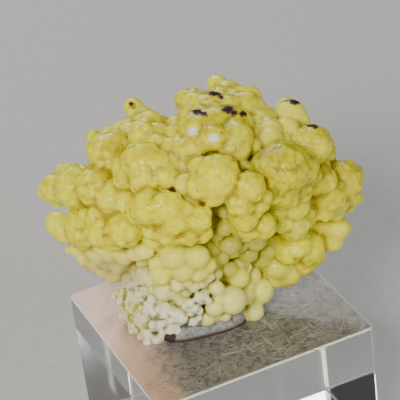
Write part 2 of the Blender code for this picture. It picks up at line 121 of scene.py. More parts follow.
# Scratches: half width and half height of one, then how they lie in their patches
SCRATCH_WIDTH = (0.005, 0.014)
SCRATCH_THICK = 0.012
SCRATCH_LIFT = 0.004
SCRATCH_MARGIN = 0.4
SCRATCH_LENGTH = (1.3, 0.9)
SCRATCH_LEAST = 0.3
SCRATCH_SCATTER = 1.3
SCRATCH_TURN = (radians(35.0), radians(50.0))
SCRATCH_SWING = radians(14.0)
BOLD_LONGER = (0.3, 3.5)
BOLD_WIDER = 2.6

SPECK_SIZE = 0.13

# The specimen is turned on the block, and its best side is seen a little from above.
SHOW_TURN = radians(21.24)
SHOW_TILT = radians(31.40)
SHOW_LEAN = radians(-7.54)
SHOW_DISTANCE = 316.0
SHOW_POINT = np.array((4.57, 12.79, 38.67))
SHOW_LENS = 170.6
SENSOR_WIDTH = 36.0

# Stage, in metres: the floor, the point that the lamps aim at, and each lamp's place and size
FLOOR_SIZE = 6.0
FLOOR_GAP = 0.0001
LAMP_AIM = (0.0, 0.0, 0.040)
LAMPS = (
    ("key", (-0.34, -0.40, 0.42), 0.20),
    ("fill", (0.22, -0.50, 0.20), 0.30),
    ("rear", (0.10, 0.45, 0.42), 0.36),
    ("side", (-0.50, 0.02, 0.16), 0.36),
)

# Shells that the lobe centres follow: centre in the specimen's axes, then half sizes
CROWN_CENTRE, CROWN_HALF = (0.3, 4.0, 23.2), (22.5, 14.0, 13.0)
ROOT_CENTRE, ROOT_HALF = (-4.0, 0.3, 5.0), (9.5, 7.2, 14.0)
HEART = (-0.5, 2.5, 17.0)
CROWN_CORE = (14.0, 10.6, 9.6)
ROOT_CORE = (7.4, 5.0, 12.0)
LOWEST_KNOB = 0.7
STEM_REACH = 0.5
STEM_SIZE = 0.55
BOX_EASE = 0.4
LIMB_POWER = 0.7
LIMB_FALL = 0.5

# Knobs of the best side, lobe by lobe, each row one knob: across, rise, proud of the shell, radius
FRONT_LOBES = {
    "left_arm": [
        (-20.6, 2.2, 0, 3.8), (-23.4, 1.8, 0, 2.9), (-25.4, 1.5, 0, 1.6), (-17.4, 2.1, 0, 3.3),
        (-22.3, 4.5, 0, 1.7), (-20.1, 4.4, 0, 1.8), (-24.5, 3.2, 0.3, 1.25), (-26, 2.2, 0.2, 0.95),
        (-25.9, 0.9, 0.2, 1), (-18.4, 3.9, 0, 1.7), (-23, 0.8, 1.5, 1.6), (-24.9, 0.5, 0.6, 1.2),
        (-21.6, 0.8, 2.2, 1.7),
    ],
    "left_ridge": [(-14.6, 0.5, -0.5, 2.9), (-14.4, 2.4, -0.6, 1.4), (-12.6, -0.2, 0.2, 2)],
    "left_knob": [(-23.7, -4, -2, 2.25), (-22.3, -5.1, -2, 2.3)],
    "lower_left": [
        (-19.6, -4.6, 0, 3.3), (-16, -4.9, 0.8, 3.4), (-12.5, -4.9, 1.2, 3.1), (-19.6, -6.3, -0.5, 2.3),
        (-14.4, -6, 1, 2.6), (-17.4, -2.6, 1.4, 1.5), (-19.3, -2.4, 1.2, 1.2), (-11.3, -5.2, 1.8, 1.9),
    ],
    "left_under": [
        (-16.9, -9.2, 0.2, 1.7), (-12.6, -9.3, 1.6, 1.7), (-9.2, -8.2, 2.2, 1.8), (-15, -8.6, 0.4, 1.9),
        (-20.6, -8.2, -1.4, 1.2), (-21.7, -8.3, -2, 0.75), (-19.3, -9.6, -1, 1.3), (-17.5, -11, -0.8, 1.3),
        (-15.8, -11.9, -0.6, 1.3), (-14.4, -12.6, -0.6, 1.3), (-12.4, -12.4, 0.2, 1.5),
        (-13.6, -10.8, 0.6, 1.6), (-11.2, -10.8, 1, 1.5), (-18.6, -10.9, -1.4, 0.9),
        (-17.2, -12, -1.4, 0.8), (-18.4, -7.9, -0.6, 1.5), (-15.6, -10.4, 0, 1.3), (-10.8, -8.9, 1.8, 1.4),
        (-13.9, -8.2, 1.2, 1.5), (-9.6, -10.4, 1.4, 1.2), (-16.4, -7.6, 0.6, 1.6),
    ],
    "upper_left": [
        (-15.9, 8.2, 0.5, 3.1), (-17.8, 10.4, 0, 1.35), (-15.2, 11.1, 0, 1.3), (-14.3, 9.6, 0.2, 2.3),
        (-17.2, 6.6, -0.2, 1.5), (-16, 5.8, -0.6, 1.6), (-18.2, 8.7, 0, 0.9),
    ],
    "upper_gap": [(-13.4, 11.9, -0.5, 1.15), (-12.2, 12.7, -0.8, 1.1), (-12, 11.5, -0.4, 1.6)],
    "upper_tip": [
        (-11.2, 15.4, -1.5, 1.6), (-10.5, 14.7, -1.4, 1.3), (-9.5, 13.8, -1.2, 1.7),
        (-8.4, 12.7, -0.8, 2.4), (-7.2, 10.8, -0.2, 2.3),
    ],
    "upper_middle": [(-9.4, 10.6, 0.4, 2.7), (-7.2, 8.9, 0.4, 2.2)],
    "upper_front": [
        (-9.7, 6.2, 1.8, 3.6), (-12.7, 5.4, 1, 2.1), (-12.3, 3.9, 0.2, 2.3), (-7.2, 5.7, 1.5, 2.6),
        (-6, 3.9, 1, 2.4), (-9, 3.6, 1.6, 2.9),
    ],
    "crown_back": [
        (-2.4, 16.6, -0.4, 2.05), (-0.7, 16.8, 0, 1.9), (0.8, 16.6, 0, 1.8), (2.3, 15.8, 0.5, 2.4),
        (5, 15.6, 0.8, 2.1), (-1.8, 14.2, 0.8, 1.6),
    ],
    "crown_left": [
        (-4.25, 12.7, -0.6, 1.4), (-4.2, 10.9, -0.2, 1.7), (-3.1, 8.9, 1.2, 2.2), (-4.9, 8.4, 1, 2),
        (-4.8, 5.8, 1.2, 1.9),
    ],
    "crown_front": [
        (-0.2, 11.5, 1.4, 3.6), (0.3, 14.2, 1.9, 1.8), (2.3, 12.6, 1.6, 3.4), (2.25, 10.4, 3.2, 2.3),
        (4.9, 12.9, 1.8, 3.2), (6.9, 12.8, 1.8, 2.2), (6.2, 10.4, 2, 2.9), (5, 8.2, 1.4, 1.6),
        (-0.8, 8.9, 1.6, 2.1), (-2.6, 8.1, 1.2, 1.5), (6.8, 8.1, 1.4, 1.6),
    ],
    "crown_right": [(8.7, 8.9, 1, 1.7), (8.6, 11, 0.8, 1.6), (9.4, 10, 0.4, 1), (11.7, 11.9, 0.8, 1.9)],
    "back_top": [
        (2.85, 19.2, -2.5, 1.85), (4.6, 18, -2.2, 1.9), (6.4, 17, -1.8, 2.3), (8, 16.6, -1.3, 2.6),
        (9.2, 14.8, -1.2, 2.3), (7, 14.9, -1.4, 2.4), (10.9, 13.9, -1, 1.8), (9.3, 12.4, -0.2, 1.7),
    ],
    "right_back": [
        (15, 14, -0.4, 2.9), (14.3, 15.5, -0.4, 1.45), (16.1, 14.7, -0.4, 1.35), (14.4, 11.7, 0.2, 2.3),
        (16.9, 12.9, -0.6, 1.3),
    ],
    "right_cap": [(11.75, 11.5, 0.6, 2), (11.7, 9.8, 0.6, 2)],
    "right_shoulder": [
        (18.7, 9.2, 0.8, 3.5), (20.4, 10.9, 0, 1.3), (21.4, 9.3, 0, 1.25), (21.7, 7.8, 0, 1.1),
        (16.6, 10.2, 0.8, 1.9), (18.9, 11.6, -0.6, 1.2), (20.5, 5.6, -1.2, 1.5),
    ],
    "far_right": [
        (23.9, 3.3, 0, 3.4), (25.9, 4.2, -0.2, 1.6), (25, 0.8, 0.2, 2.1), (21.4, 1, 0.8, 3),
        (22.9, -0.4, 0.8, 2), (20.6, 3.4, 0, 2.4), (20.6, -1.6, 0.2, 2.2), (22.6, -1.8, -0.4, 1.8),
        (24.6, -1, -0.8, 1.2),
    ],
    "far_low": [(22.8, -4.7, -1.4, 2.2), (22, -6.6, -1.8, 2.1), (24, -4.6, -1.9, 1.5)],
    "big_right": [
        (13.9, 5.4, 2.2, 4.6), (13.4, 7.7, 2.4, 2.1), (16.7, 5.6, 2.8, 3.2), (10.9, 5.9, 2.4, 2.5),
        (16.2, 7.4, 1.8, 1.7), (18.4, 4.4, 2.2, 1.9), (13, 3.6, 3.2, 1.9), (15.8, 3.8, 3.2, 1.9),
        (14.4, 0.8, 2.2, 2.3), (12.2, 1, 2, 2.1), (16.8, 1.4, 1.6, 2.1),
    ],
    "right_low": [
        (15.5, -4.1, 1.2, 2.8), (13.7, -3.6, 0.2, 2), (13, -1.4, -0.8, 1.8), (17.6, -2.4, -1.4, 1.9),
        (16.8, -3.4, 0.2, 2.1),
    ],
    "front_right": [
        (8.3, 2.2, 3.4, 2.75), (6.6, -0.8, 3.8, 2.15), (10.4, 0.3, 3.2, 1.7), (7.4, -2.9, 3.2, 2.5),
        (9.3, -0.7, 3, 2.1),
    ],
    "front_right_low": [(10.4, -4.3, 3.4, 2.5), (8.1, -4.6, 2.6, 2.3)],
    "gap_beads": [(7.2, 6, 0.6, 0.9), (8.6, 5.7, 0.6, 0.9)],
    "front_middle": [
        (2.9, 3.9, 2.6, 3.9), (0.1, 5.4, 2, 2.1), (4.5, 5.4, 2, 2), (2.3, 0.9, 2.4, 2.2),
        (-0.2, 2.2, 2.4, 2.3),
    ],
    "middle_left": [(-1.4, 0.4, 1, 2), (-2.4, 2.6, 1.8, 2), (-2.9, 6, 0.8, 1.4), (-1.4, 6.4, 0.8, 1.3)],
    "front_left": [
        (-8.5, -1.2, 3.4, 3.1), (-5.6, -1.4, 3.6, 3), (-4.3, -3.2, 3.8, 2.7), (-2.2, -5.2, 3, 2.5),
        (-7.8, -4.7, 2.8, 2.1), (-5, -5.2, 3.2, 2.7), (-8, -6.6, 1.2, 1.6), (-10.2, -2.2, 2.2, 2.2),
        (-2.9, -1.8, 3, 1.8), (-0.3, -3.1, 3, 2.3), (0.2, -5.3, 2.6, 2),
    ],
    "low_right": [
        (14.7, -8.4, 1.2, 2.4), (18.1, -8, 0.8, 2.8), (16.4, -7.6, 1.6, 2.3), (17.2, -10.4, 0.2, 2.3),
        (19, -9.4, 0.2, 1.9),
    ],
    "low_right_under": [(12.8, -10.8, 0.2, 2.4), (14.6, -11.8, 0, 2.6), (13.1, -12.9, -0.4, 1.9)],
    "low_middle": [
        (-4.3, -9.3, 4.2, 2.3), (-0.4, -9.4, 4.2, 2.1), (-6.9, -10.6, 3.6, 1.75), (1.4, -10.8, 3.2, 1.35),
        (-2.8, -11.4, 3.4, 2.2), (-0.2, -11.8, 3, 1.8), (-6.4, -12.2, 3, 2.1),
    ],
    "low_beads": [
        (1.2, -12.7, 2.4, 1.2), (-9.3, -12.5, 2.2, 1.6), (-8, -13.4, 1.8, 1.3), (-5.9, -15.2, 2.6, 1.75),
        (-4.5, -15.2, 2.2, 1.4), (-1.1, -14.2, 2.4, 1.25), (-3.6, -13.8, 2.6, 1.4), (-3.2, -16.5, 2, 1.2),
        (-2.4, -15.3, 1.6, 1.2), (0.2, -13.6, 1.8, 1.1), (-2.3, -13.4, 2.4, 1.4), (-7.6, -14.6, 1.6, 1.1),
    ],
    "recess": [
        (4.2, -1.9, -0.8, 1.3), (4.2, -4.6, 0.2, 1.5), (5, -7.4, 0.8, 1.9), (3.5, -9.5, 1.4, 1.5),
        (6.4, -10.8, 1.4, 1.35), (8.1, -8.9, 0.6, 1.7), (2.8, -12.2, 1.4, 1.1), (9.4, -7, -0.6, 1.6),
        (2.2, -7.6, -2.6, 1.8), (11.4, -8.4, -0.6, 1.6), (6.7, -7.4, -1, 1.4), (2.9, -5.9, 0.2, 1.1),
        (6.3, -9, 0.8, 1.2), (7.6, -11.2, 0.8, 1.3), (4.6, -11.6, 1.2, 1.2), (2, -10.8, 1.6, 1.2),
        (7.2, -5.2, -0.4, 1.2), (10.6, -10, 0, 1.4),
    ],
    "pale_bulbs": [
        (10, -15.2, 3, 2.3), (5.3, -16.7, 3.6, 2.5), (2.8, -14.7, 2.2, 1.35), (2.2, -17.9, 2.4, 1.4),
        (4.2, -19.3, 2.2, 1.05), (1.4, -19.8, 1.6, 1.2), (5.8, -19.3, 1.4, 1), (7.2, -18.9, 1, 1.5),
        (7.5, -16, 2.4, 1.6), (3.2, -16.4, 2.4, 1.3), (9.3, -18.6, 0.2, 1.2), (8.3, -17.2, 1.4, 1.3),
    ],
    "yellow_bulbs": [
        (6.4, -12.9, 1.8, 1.9), (8.5, -12.5, 2, 1.8), (10, -15.2, 3, 2.2), (7.9, -14.6, 2.2, 1.4),
        (6.7, -10.3, 1.2, 1.9), (10.4, -12.3, 0.8, 1.5),
    ],
    "root": [
        (-7.4, -18, 2, 1.8), (-5.4, -18.2, 2.4, 1.8), (-6.6, -20.2, 2, 1.8), (-3.4, -19, 2.4, 1.8),
        (-1.3, -17.6, 2.2, 1.5), (-1, -19.4, 1.8, 1.4), (-4.6, -20.9, 1.8, 1.3), (-8.4, -22.2, 1.2, 1.6),
        (-7.6, -16.8, 1.6, 1.2), (0.4, -16.2, 2.4, 1.2), (-6.4, -22.4, 1.2, 1.2),
    ],
    "root_left": [
        (-13.6, -15.8, 0, 1.2), (-12.2, -16.2, 1, 1.6), (-10.8, -17.6, 1.4, 1.8), (-9, -15.4, 0.8, 1.3),
        (-11.8, -18.8, 1.2, 1.6), (-9.2, -19.6, 1.8, 2), (-10.2, -21, 1, 1.4), (-11.6, -14.4, 0, 1.4),
    ],
}

# Lobes of the other sides, each row one lobe on the crown's shell:
# degrees round from the front, degrees up, radius of its main knob
BACK_LOBES = [
    (118, 58, 3), (172, 68, 3.6), (236, 60, 3.2), (126, 32, 3.7), (154, 46, 3.4), (190, 40, 4.1),
    (224, 36, 3.6), (104, 4, 3.4), (133, 6, 4), (164, 12, 4.4), (196, 4, 3.8), (226, 8, 4.2),
    (254, 12, 3.4), (108, -26, 3.1), (134, -26, 3.4), (163, -22, 3.8), (194, -28, 3.5), (223, -24, 3.7),
    (252, -24, 3.1), (146, -52, 2.9), (182, -54, 3), (218, -54, 3),
]
BACK_PROUD = (-0.6, 1.2)
BACK_KNOBS = 9
BACK_KNOB_SIZE = (0.42, 0.64)
BACK_KNOB_TIP = (0.3, 1.4)
BACK_KNOB_SUNK = 0.3
TURN_STEP = radians(137.5)
FILLERS = 96
FILLER_SHARE = (0.81, 0.89)
FILLER_RADIUS = (1.7, 2.6)
OUTLINE_POINTS = 12
PULL_IN = 0.05
MOST_PULLS = 14

# Bulbs round the hidden sides of the root: height, how many, radius
BACK_ROOT_RINGS = [(1.8, 9, 1.9), (4.8, 9, 2.0), (8.2, 10, 2.2)]
BACK_ROOT_ARC = (75.0, 290.0)
BACK_ROOT_SUNK = 0.8
BACK_ROOT_SIZE = (0.8, 1.15)
BACK_ROOT_DRIFT = 0.5

FRONT_ROWS = np.array([row for rows in FRONT_LOBES.values() for row in rows])
FRONT_NAMES = [name for name, rows in FRONT_LOBES.items() for _ in rows]
ROOT_GROUPS = (
    "low_middle", "low_beads", "recess", "pale_bulbs", "yellow_bulbs", "root", "root_left", "back_root",
)

# Each lobe's colouring: how pale, how olive, how white, how green. Then the shape of its skin: how far it is
# rounded over, the spacing, radius and height of its bumps, and the size and depth of its finest bubbles
PLAIN_SKIN = (0.5, 1.7, 1.1, 0.28, 1.1, 0.1)
LOBE_LOOKS = {
    "left_arm": ((0.1, 0.1, 0, 0), (0.42, 1.4, 0.9, 0.32, 1.1, 0.1)),
    "left_ridge": ((0.25, 0, 0, 0), PLAIN_SKIN),
    "left_knob": ((0.3, 0, 0, 0), (0.35, 2.4, 1.8, 0.12, 1.1, 0.05)),
    "lower_left": ((0, 0, 0, 0), PLAIN_SKIN),
    "left_under": ((0.6, 0, 0.12, 0), (0.05, 1.7, 1, 0.26, 1.1, 0.05)),
    "upper_left": ((0.1, 0.3, 0, 0), (0.5, 1.5, 1, 0.28, 1.1, 0.11)),
    "upper_gap": ((0.8, 0, 0.2, 0), (0.2, 2.2, 1.4, 0.1, 1.1, 0.04)),
    "upper_tip": ((0.25, 0.15, 0, 0), (0.28, 2.4, 1.8, 0.12, 1.1, 0.04)),
    "upper_middle": ((0.15, 0.25, 0, 0), PLAIN_SKIN),
    "upper_front": ((0.1, 0.12, 0, 0), (0.5, 1.8, 1.3, 0.28, 1.1, 0.08)),
    "crown_back": ((0.1, 0.45, 0, 0), (0.55, 2, 1.5, 0.2, 1.1, 0.06)),
    "crown_left": ((0.35, 0.15, 0, 0), (0.35, 1.9, 1.3, 0.2, 1.1, 0.06)),
    "crown_front": ((0.05, 0.5, 0, 0), (0.6, 2.2, 1.8, 0.18, 1.1, 0.06)),
    "crown_right": ((0.35, 0.2, 0, 0), PLAIN_SKIN),
    "back_top": ((0.45, 0.05, 0, 0), (0.4, 2.4, 1.8, 0.1, 1.1, 0.04)),
    "right_back": ((0.7, 0.05, 0, 0), (0.5, 2.2, 1.6, 0.14, 1.1, 0.04)),
    "right_cap": ((0.6, 0.15, 0, 0), (0.5, 2.4, 1.8, 0.08, 1.1, 0.04)),
    "right_shoulder": ((0.15, 0.5, 0, 0), (0.7, 1.5, 1.1, 0.14, 1.1, 0.08)),
    "far_right": ((0.1, 0.7, 0, 0), (0.5, 1.6, 1.1, 0.24, 1.1, 0.1)),
    "far_low": ((0.4, 0.15, 0, 0), (0.25, 1.8, 1.3, 0.16, 1.1, 0.06)),
    "big_right": ((0, 0.78, 0, 0), (0.7, 1.6, 1.1, 0.18, 1.1, 0.14)),
    "right_low": ((0.2, 0.4, 0, 0), PLAIN_SKIN),
    "front_right": ((0, 0.35, 0, 0), (0.5, 1.6, 1.1, 0.24, 1.1, 0.08)),
    "front_right_low": ((0, 0.45, 0, 0), (0.55, 1.8, 1.3, 0.16, 1.1, 0.07)),
    "gap_beads": ((0.7, 0, 0, 0.3), (0.1, 2.2, 0.8, 0.02, 1.1, 0)),
    "front_middle": ((0.1, 0.15, 0, 0), (0.55, 1.7, 1.1, 0.24, 1.1, 0.1)),
    "middle_left": ((0.55, 0, 0, 0), (0.35, 2.4, 1.8, 0.1, 1.1, 0.04)),
    "front_left": ((0, 0, 0, 0), (0.42, 1.7, 1.1, 0.26, 1.1, 0.08)),
    "low_right": ((0.05, 0.12, 0, 0), (0.5, 1.6, 1.1, 0.28, 1.1, 0.1)),
    "low_right_under": ((0.4, 0.12, 0, 0), (0.5, 2.4, 1.8, 0.1, 1.1, 0.05)),
    "low_middle": ((0.6, 0, 0.06, 0), (0.1, 1.9, 1.2, 0.24, 1.1, 0.06)),
    "low_beads": ((0.5, 0, 0.55, 0), (0, 1.6, 1, 0.24, 0.7, 0.08)),
    "recess": ((0, 0, 0.08, 1), (0, 2.2, 1.2, 0.16, 1.1, 0.02)),
    "pale_bulbs": ((0.85, 0, 0.3, 0), (0.15, 2.4, 1.5, 0.1, 1.1, 0.05)),
    "yellow_bulbs": ((0.75, 0, 0, 0), (0.15, 2.4, 1.5, 0.08, 1.1, 0.03)),
    "root": ((0, 0, 1, 0), (0, 1.25, 0.75, 0.5, 0.6, 0.16)),
    "root_left": ((0.2, 0.55, 0.75, 0.2), (0, 1.15, 0.65, 0.5, 0.55, 0.18)),
    "back_crown": ((0.15, 0.3, 0, 0), PLAIN_SKIN),
    "back_root": ((0.1, 0, 0.9, 0), (0.05, 0.85, 0.45, 0.36, 0.55, 0.3)),
}
RECESS_STEM = 9.0
BUBBLE_SEEDS = ((12.9898, 39.346, 73.156), (78.233, 11.135, 52.235), (37.719, 83.155, 9.151))
BUBBLE_SPREAD = 43758.5453

# Bumps on a lobe: the first grid's coarseness, one point in how many may carry one, and how they vary
ROUGH_GRID = 1.3
BUMP_SHARE = 4
BUMP_SIZE = (0.7, 1.2)
BUMP_PROUD = (0.3, 1.6)

# How much nearer the viewer a lobe stands than its table says
NEARER = {
    "front_left": 0.8, "front_right": 0.8, "front_right_low": 0.9, "big_right": 0.6, "lower_left": 0.5,
    "crown_front": 0.2, "upper_front": 0.4, "left_knob": -0.6, "crown_left": -0.6, "upper_tip": -0.4,
    "crown_right": -0.8, "right_low": -0.8, "right_cap": 0.3, "middle_left": -0.3,
}

# ---- axes

UP = np.array((0.0, 0.0, 1.0))
FORWARD = np.array((sin(SHOW_TURN) * cos(SHOW_TILT), cos(SHOW_TURN) * cos(SHOW_TILT), -sin(SHOW_TILT)))
SIDE = np.array((cos(SHOW_TURN), -sin(SHOW_TURN), 0.0))
BACK = np.array((sin(SHOW_TURN), cos(SHOW_TURN), 0.0))
LEVEL_UP = np.cross(SIDE, FORWARD)
ACROSS = SIDE * cos(SHOW_LEAN) + LEVEL_UP * sin(SHOW_LEAN)
RISE = LEVEL_UP * cos(SHOW_LEAN) - SIDE * sin(SHOW_LEAN)
TOWARD = -FORWARD
OWN_AXES = np.array((SIDE, BACK, UP))


def on_block(places):
    """Places in the specimen's axes, measured from the middle of the block's top."""
    return np.asarray(places) @ OWN_AXES + UP * BLOCK_HEIGHT


def shell_depth(across, rise):
    """How far toward the viewer the shells lie on each line of sight, falling back past their limbs."""
    start = SHOW_POINT + np.outer(across, ACROSS) + np.outer(rise, RISE)
    depths, shares = [], []
    for centre, half in ((CROWN_CENTRE, CROWN_HALF), (ROOT_CENTRE, ROOT_HALF)):
        o = (start - on_block(centre)) @ OWN_AXES.T / half
        d = OWN_AXES @ TOWARD / half
        square = d @ d
        middle = -(o @ d) / square
        share = 1.0 - ((o * o).sum(1) - middle**2 * square)
        swell = np.where(share > 0.0, np.abs(share) ** LIMB_POWER, LIMB_FALL * share)
        depths.append(middle + swell / sqrt(square))
        shares.append(share)
    depths, shares = np.array(depths), np.array(shares)
    nearest = np.where(shares > 0.0, depths, -np.inf).max(0)
    fallen = np.take_along_axis(depths, shares.argmax(0)[None], 0)[0]
    return np.where(shares.max(0) > 0.0, nearest, fallen)


def front_knobs():
    """Centres and radii of the best side's knobs."""
    across, rise, proud, radius = FRONT_ROWS.T
    forward = np.array([NEARER.get(name, 0.0) for name in FRONT_NAMES])
    toward = shell_depth(across, rise) + proud + forward
    scale = 1.0 - toward / SHOW_DISTANCE
    flat = np.outer(across * scale, ACROSS) + np.outer(rise * scale, RISE)
    centres = SHOW_POINT + flat + np.outer(toward, TOWARD)
    lift = np.maximum(BLOCK_HEIGHT + LOWEST_KNOB - centres[:, 2], 0.0)
    return centres + np.outer(lift / TOWARD[2], TOWARD), radius * scale


def on_crown(turn, lift, share=1.0):
    """A place on the crown's shell, and the way out from it."""
    way = np.array((sin(turn) * cos(lift), -cos(turn) * cos(lift), sin(lift)))
    place = on_block(np.array(CROWN_CENTRE) + share * np.array(CROWN_HALF) * way)
    out = (way / CROWN_HALF) @ OWN_AXES
    return place, out / np.linalg.norm(out)


def as_seen(points):
    """Each point's place across and up the best side, and how far toward the viewer it is."""
    offset = points - SHOW_POINT
    toward = offset @ TOWARD
    scale = 1.0 - toward / SHOW_DISTANCE
    return offset @ ACROSS / scale, offset @ RISE / scale, toward


def is_hidden(centre, radius):
    """Whether the best side's knobs cover this one, so that their outline stays as it is."""
    across, rise, toward = as_seen(centre)
    reach = radius / (1.0 - toward / SHOW_DISTANCE)
    turns = 2.0 * pi * np.arange(OUTLINE_POINTS) / OUTLINE_POINTS
    x, y = across + reach * np.cos(turns), rise + reach * np.sin(turns)
    far = np.hypot(x[:, None] - FRONT_ROWS[:, 0], y[:, None] - FRONT_ROWS[:, 1])
    return bool((far < FRONT_ROWS[:, 3]).any(1).all())


def pulled_in(knobs):
    """The knobs, each brought toward the heart until the best side hides it, without any still in sight."""
    heart = on_block(HEART)
    kept = []
    for centre, radius in knobs:
        for _ in range(MOST_PULLS):
            if is_hidden(centre, radius):
                kept.append((centre, radius))
                break
            centre = centre + (heart - centre) * PULL_IN
    return kept


def back_lobes():
    """Each lobe of the other sides: a main knob and smaller ones spiralling round it."""
    rng = Random(BACK_SEED)
    lobes = []
    for turn, lift, radius in BACK_LOBES:
        place, out = on_crown(radians(turn), radians(lift))
        main_knob = pulled_in([(place + out * rng.uniform(*BACK_PROUD), radius)])
        knobs = list(main_knob)
        out = Vector(out)
        aside = out.orthogonal().normalized()
        start = rng.uniform(0.0, 2.0 * pi)
        for k in range(BACK_KNOBS):
            share = (k + 0.5) / BACK_KNOBS
            tip = BACK_KNOB_TIP[0] + (BACK_KNOB_TIP[1] - BACK_KNOB_TIP[0]) * share
            way = Matrix.Rotation(start + k * TURN_STEP, 3, out) @ aside
            small = radius * rng.uniform(*BACK_KNOB_SIZE)
            for centre, _ in main_knob:
                aim = np.array(out * cos(tip) + way * sin(tip))
                knobs += pulled_in([(centre + aim * (radius - BACK_KNOB_SUNK * small), small)])
        lobes.append(("back_crown", knobs))
    return lobes


def filler_knobs():
    """Smaller knobs spread evenly a little under the crown's shell, between the lobes."""
    rng = Random(FILLER_SEED)
    knobs = []
    for k in range(FILLERS):
        lift = asin(2.0 * (k + 0.5) / FILLERS - 1.0)
        place, _ = on_crown(k * TURN_STEP, lift, rng.uniform(*FILLER_SHARE))
        knobs.append((place, rng.uniform(*FILLER_RADIUS)))
    return pulled_in(knobs)


def back_root_knobs():
    """Bulbs round the hidden sides of the root."""
    rng = Random(BACK_ROOT_SEED)
    knobs = []
    first, last = (radians(a) for a in BACK_ROOT_ARC)
    for row, (height, count, radius) in enumerate(BACK_ROOT_RINGS):
        for k in range(count):
            turn = first + (last - first) * (k + 0.5 * (row % 2)) / count
            side = ROOT_CENTRE[0] + (ROOT_HALF[0] - BACK_ROOT_SUNK) * sin(turn)
            back = ROOT_CENTRE[1] - (ROOT_HALF[1] - BACK_ROOT_SUNK) * cos(turn)
            size = radius * rng.uniform(*BACK_ROOT_SIZE)
            drift = rng.uniform(-BACK_ROOT_DRIFT, BACK_ROOT_DRIFT)
            knobs.append((on_block((side, back, height + drift)), size))
    return knobs


def all_lobes():
    """Every lobe's name, and its knobs' centres and radii."""
    centres, radii = front_knobs()
    names = np.array(FRONT_NAMES)
    lobes = [(name, centres[names == name], radii[names == name]) for name in FRONT_LOBES]
    others = back_lobes() + [("back_crown", filler_knobs()), ("back_root", back_root_knobs())]
    for name, knobs in others:
        if knobs:
            lobes.append((name, np.array([c for c, _ in knobs]), np.array([r for _, r in knobs])))
    return lobes


# ---- meshes


def only(obj=None):
    """Deselects everything, then selects and activates this object."""
    for other in bpy.context.scene.objects:
        other.select_set(False)
    if obj is not None:
        obj.select_set(True)
        bpy.context.view_layer.objects.active = obj
    return obj


def arrays_of(obj):
    """A primitive's points and triangles; the primitive itself is removed."""
    bpy.ops.object.mode_set(mode="EDIT")
    bpy.ops.mesh.select_all(action="SELECT")
    bpy.ops.mesh.quads_convert_to_tris()
    bpy.ops.object.mode_set(mode="OBJECT")
    points = np.array([v.co for v in obj.data.vertices])
    faces = np.array([tuple(p.vertices) for p in obj.data.polygons])
    bpy.data.objects.remove(obj)
    return points, faces


def ball(detail=3):
    """A unit ball to copy."""
    only()
    bpy.ops.mesh.primitive_ico_sphere_add(subdivisions=detail, radius=1.0)
    return arrays_of(bpy.context.object)


def rod(sides=12):
    """A rod of unit radius and length to copy, standing on the origin."""
    only()
    bpy.ops.mesh.primitive_cylinder_add(vertices=sides, radius=1.0, depth=1.0, location=(0.0, 0.0, 0.5))
    bpy.ops.object.transform_apply(location=True)
    return arrays_of(bpy.context.object)


def copies(shape, frames, places):
    """A shape's points and triangles once for each frame (three rows of axes) and place."""
    points, faces = shape
    moved = np.einsum("pi,nij->npj", points, frames) + places[:, None, :]
    steps = np.arange(len(places))[:, None, None] * len(points)
    return moved.reshape(-1, 3), (faces[None] + steps).reshape(-1, 3)


def joined(parts):
    """Several pairs of points and triangles as one."""
    start, points, faces = 0, [], []
    for p, f in parts:
        points.append(p)
        faces.append(f + start)
        start += len(p)
    return np.vstack(points), np.vstack(faces)


def mesh_object(name, points, faces):
    """An object from points in millimetres and triangles."""
    mesh = bpy.data.meshes.new(name)
    mesh.vertices.add(len(points))
    mesh.vertices.foreach_set("co", (points * MM).astype(np.float32).ravel())
    mesh.loops.add(faces.size)
    mesh.loops.foreach_set("vertex_index", faces.astype(np.int32).ravel())
    mesh.polygons.add(len(faces))
    mesh.polygons.foreach_set("loop_start", np.arange(0, faces.size, 3, dtype=np.int32))
    mesh.update(calc_edges=True)
    obj = bpy.data.objects.new(name, mesh)
    bpy.context.scene.collection.objects.link(obj)
    return only(obj)


def balls(shape, places, radii):
    """A ball at each place."""
    return copies(shape, np.eye(3)[None] * np.asarray(radii)[:, None, None], np.asarray(places))


def rods(shape, starts, ends, radii):
    """A rod from each start to each end."""
    along = ends - starts
    lengths = np.linalg.norm(along, axis=1, keepdims=True)
    upright = np.abs(along[:, 2:]) > 0.9 * lengths
    aside = np.cross(along, np.where(upright, (1.0, 0.0, 0.0), UP))
    aside *= np.asarray(radii)[:, None] / np.linalg.norm(aside, axis=1, keepdims=True)
    other = np.cross(along / lengths, aside)
    return copies(shape, np.stack((aside, other, along), axis=1), starts)


def egg(shape, centre, half):
    """An egg on the specimen's axes."""
    return copies(shape, (np.diag(half) @ OWN_AXES)[None], on_block(centre)[None])


def apply(obj, kind, **settings):
    """Adds a modifier, sets it and applies it."""
    modifier = obj.modifiers.new(kind.lower(), kind)
    modifier.show_viewport = False
    for key, value in settings.items():
        setattr(modifier, key, value)
    only(obj)
    bpy.ops.object.modifier_apply(modifier=modifier.name)


def fuse(obj, grid, rounds=0):
    """Fuses all of a piece into one skin on a grid, and smooths it this many times."""
    apply(obj, "REMESH", mode="VOXEL", voxel_size=grid)
    if rounds:
        apply(obj, "SMOOTH", factor=0.5, iterations=rounds)


def cut_away(obj, cutter):
    """Cuts a closed shape out of a piece and removes the cutter."""
    apply(obj, "BOOLEAN", operation="DIFFERENCE", solver="MANIFOLD", object=cutter)
    bpy.data.objects.remove(cutter)


